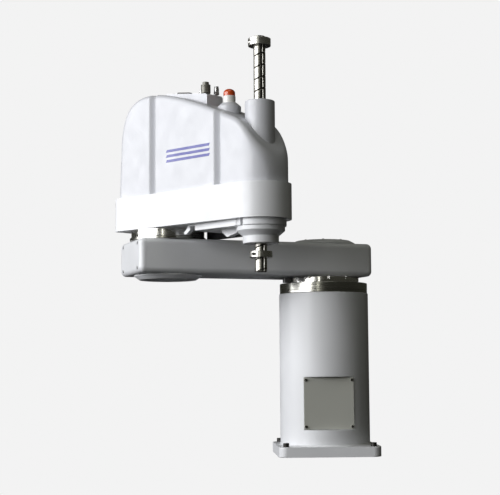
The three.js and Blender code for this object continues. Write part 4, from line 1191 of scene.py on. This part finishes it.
def add_studio():
    """A pale floor and background, a large soft light from the left, faint fill lights and a dim room."""
    world = bpy.data.worlds.new("studio")
    bpy.context.scene.world = world
    world.use_nodes = True
    tree = world.node_tree
    tree.nodes.clear()
    seen = tree.nodes.new("ShaderNodeBackground")
    seen.inputs["Color"].default_value = (BACKDROP, BACKDROP, BACKDROP, 1)
    room = tree.nodes.new("ShaderNodeBackground")
    room.inputs["Color"].default_value = (*ROOM, 1)
    path = tree.nodes.new("ShaderNodeLightPath")
    mix = tree.nodes.new("ShaderNodeMixShader")
    output = tree.nodes.new("ShaderNodeOutputWorld")
    tree.links.new(path.outputs["Is Camera Ray"], mix.inputs["Fac"])
    tree.links.new(room.outputs["Background"], mix.inputs[1])
    tree.links.new(seen.outputs["Background"], mix.inputs[2])
    tree.links.new(mix.outputs["Shader"], output.inputs["Surface"])

    material = bpy.data.materials.new("floor")
    material.use_nodes = True
    tree = material.node_tree
    tree.nodes.clear()
    bright = tree.nodes.new("ShaderNodeEmission")
    bright.inputs["Color"].default_value = (BACKDROP, BACKDROP, BACKDROP, 1)
    matte = tree.nodes.new("ShaderNodeBsdfDiffuse")
    matte.inputs["Color"].default_value = (FLOOR_TONE, FLOOR_TONE, FLOOR_TONE, 1)
    path = tree.nodes.new("ShaderNodeLightPath")
    mix = tree.nodes.new("ShaderNodeMixShader")
    output = tree.nodes.new("ShaderNodeOutputMaterial")
    tree.links.new(path.outputs["Is Camera Ray"], mix.inputs["Fac"])
    tree.links.new(matte.outputs["BSDF"], mix.inputs[1])
    tree.links.new(bright.outputs["Emission"], mix.inputs[2])
    tree.links.new(mix.outputs["Shader"], output.inputs["Surface"])
    bm = bmesh.new()
    bmesh.ops.create_grid(bm, x_segments=1, y_segments=1, size=30)
    floor = to_object(bm, "floor")
    floor.data.materials.append(material)
    floor.location.z = -0.001

    for name, heading, distance, height, size, power, color in LIGHTS:
        angle = math.radians(heading)
        place = (
            distance * math.cos(angle) + LIGHT_TARGET[0],
            distance * math.sin(angle) + LIGHT_TARGET[1],
            height,
        )
        area_light(name, place, LIGHT_TARGET, size, power, color)
    bpy.context.scene.view_settings.view_transform = "Standard"


# ---- Everything ----
add_studio()
add_base_casting()
add_panels()
add_mounting_bolts()
add_rear_connectors()
add_shoulder_rings()
add_elbow_rings()
add_arm1()
add_lids()
add_casting()
add_hose_duct()
add_cover()
add_marks()
add_tube()
crown_clearance = cover_surface(COVER_INSET, lift=GAP)
add_user_panel(crown_clearance)
add_user_connectors()
add_brake_switch()
add_lamp(crown_clearance)
discard(crown_clearance)
add_shaft()
clamp_collar("upper_collar", "top_stop_collar", -70)
clamp_collar("lower_collar", "bottom_stop_collar", -46)
finish_inner_nodes()

bpy.context.view_layer.update()
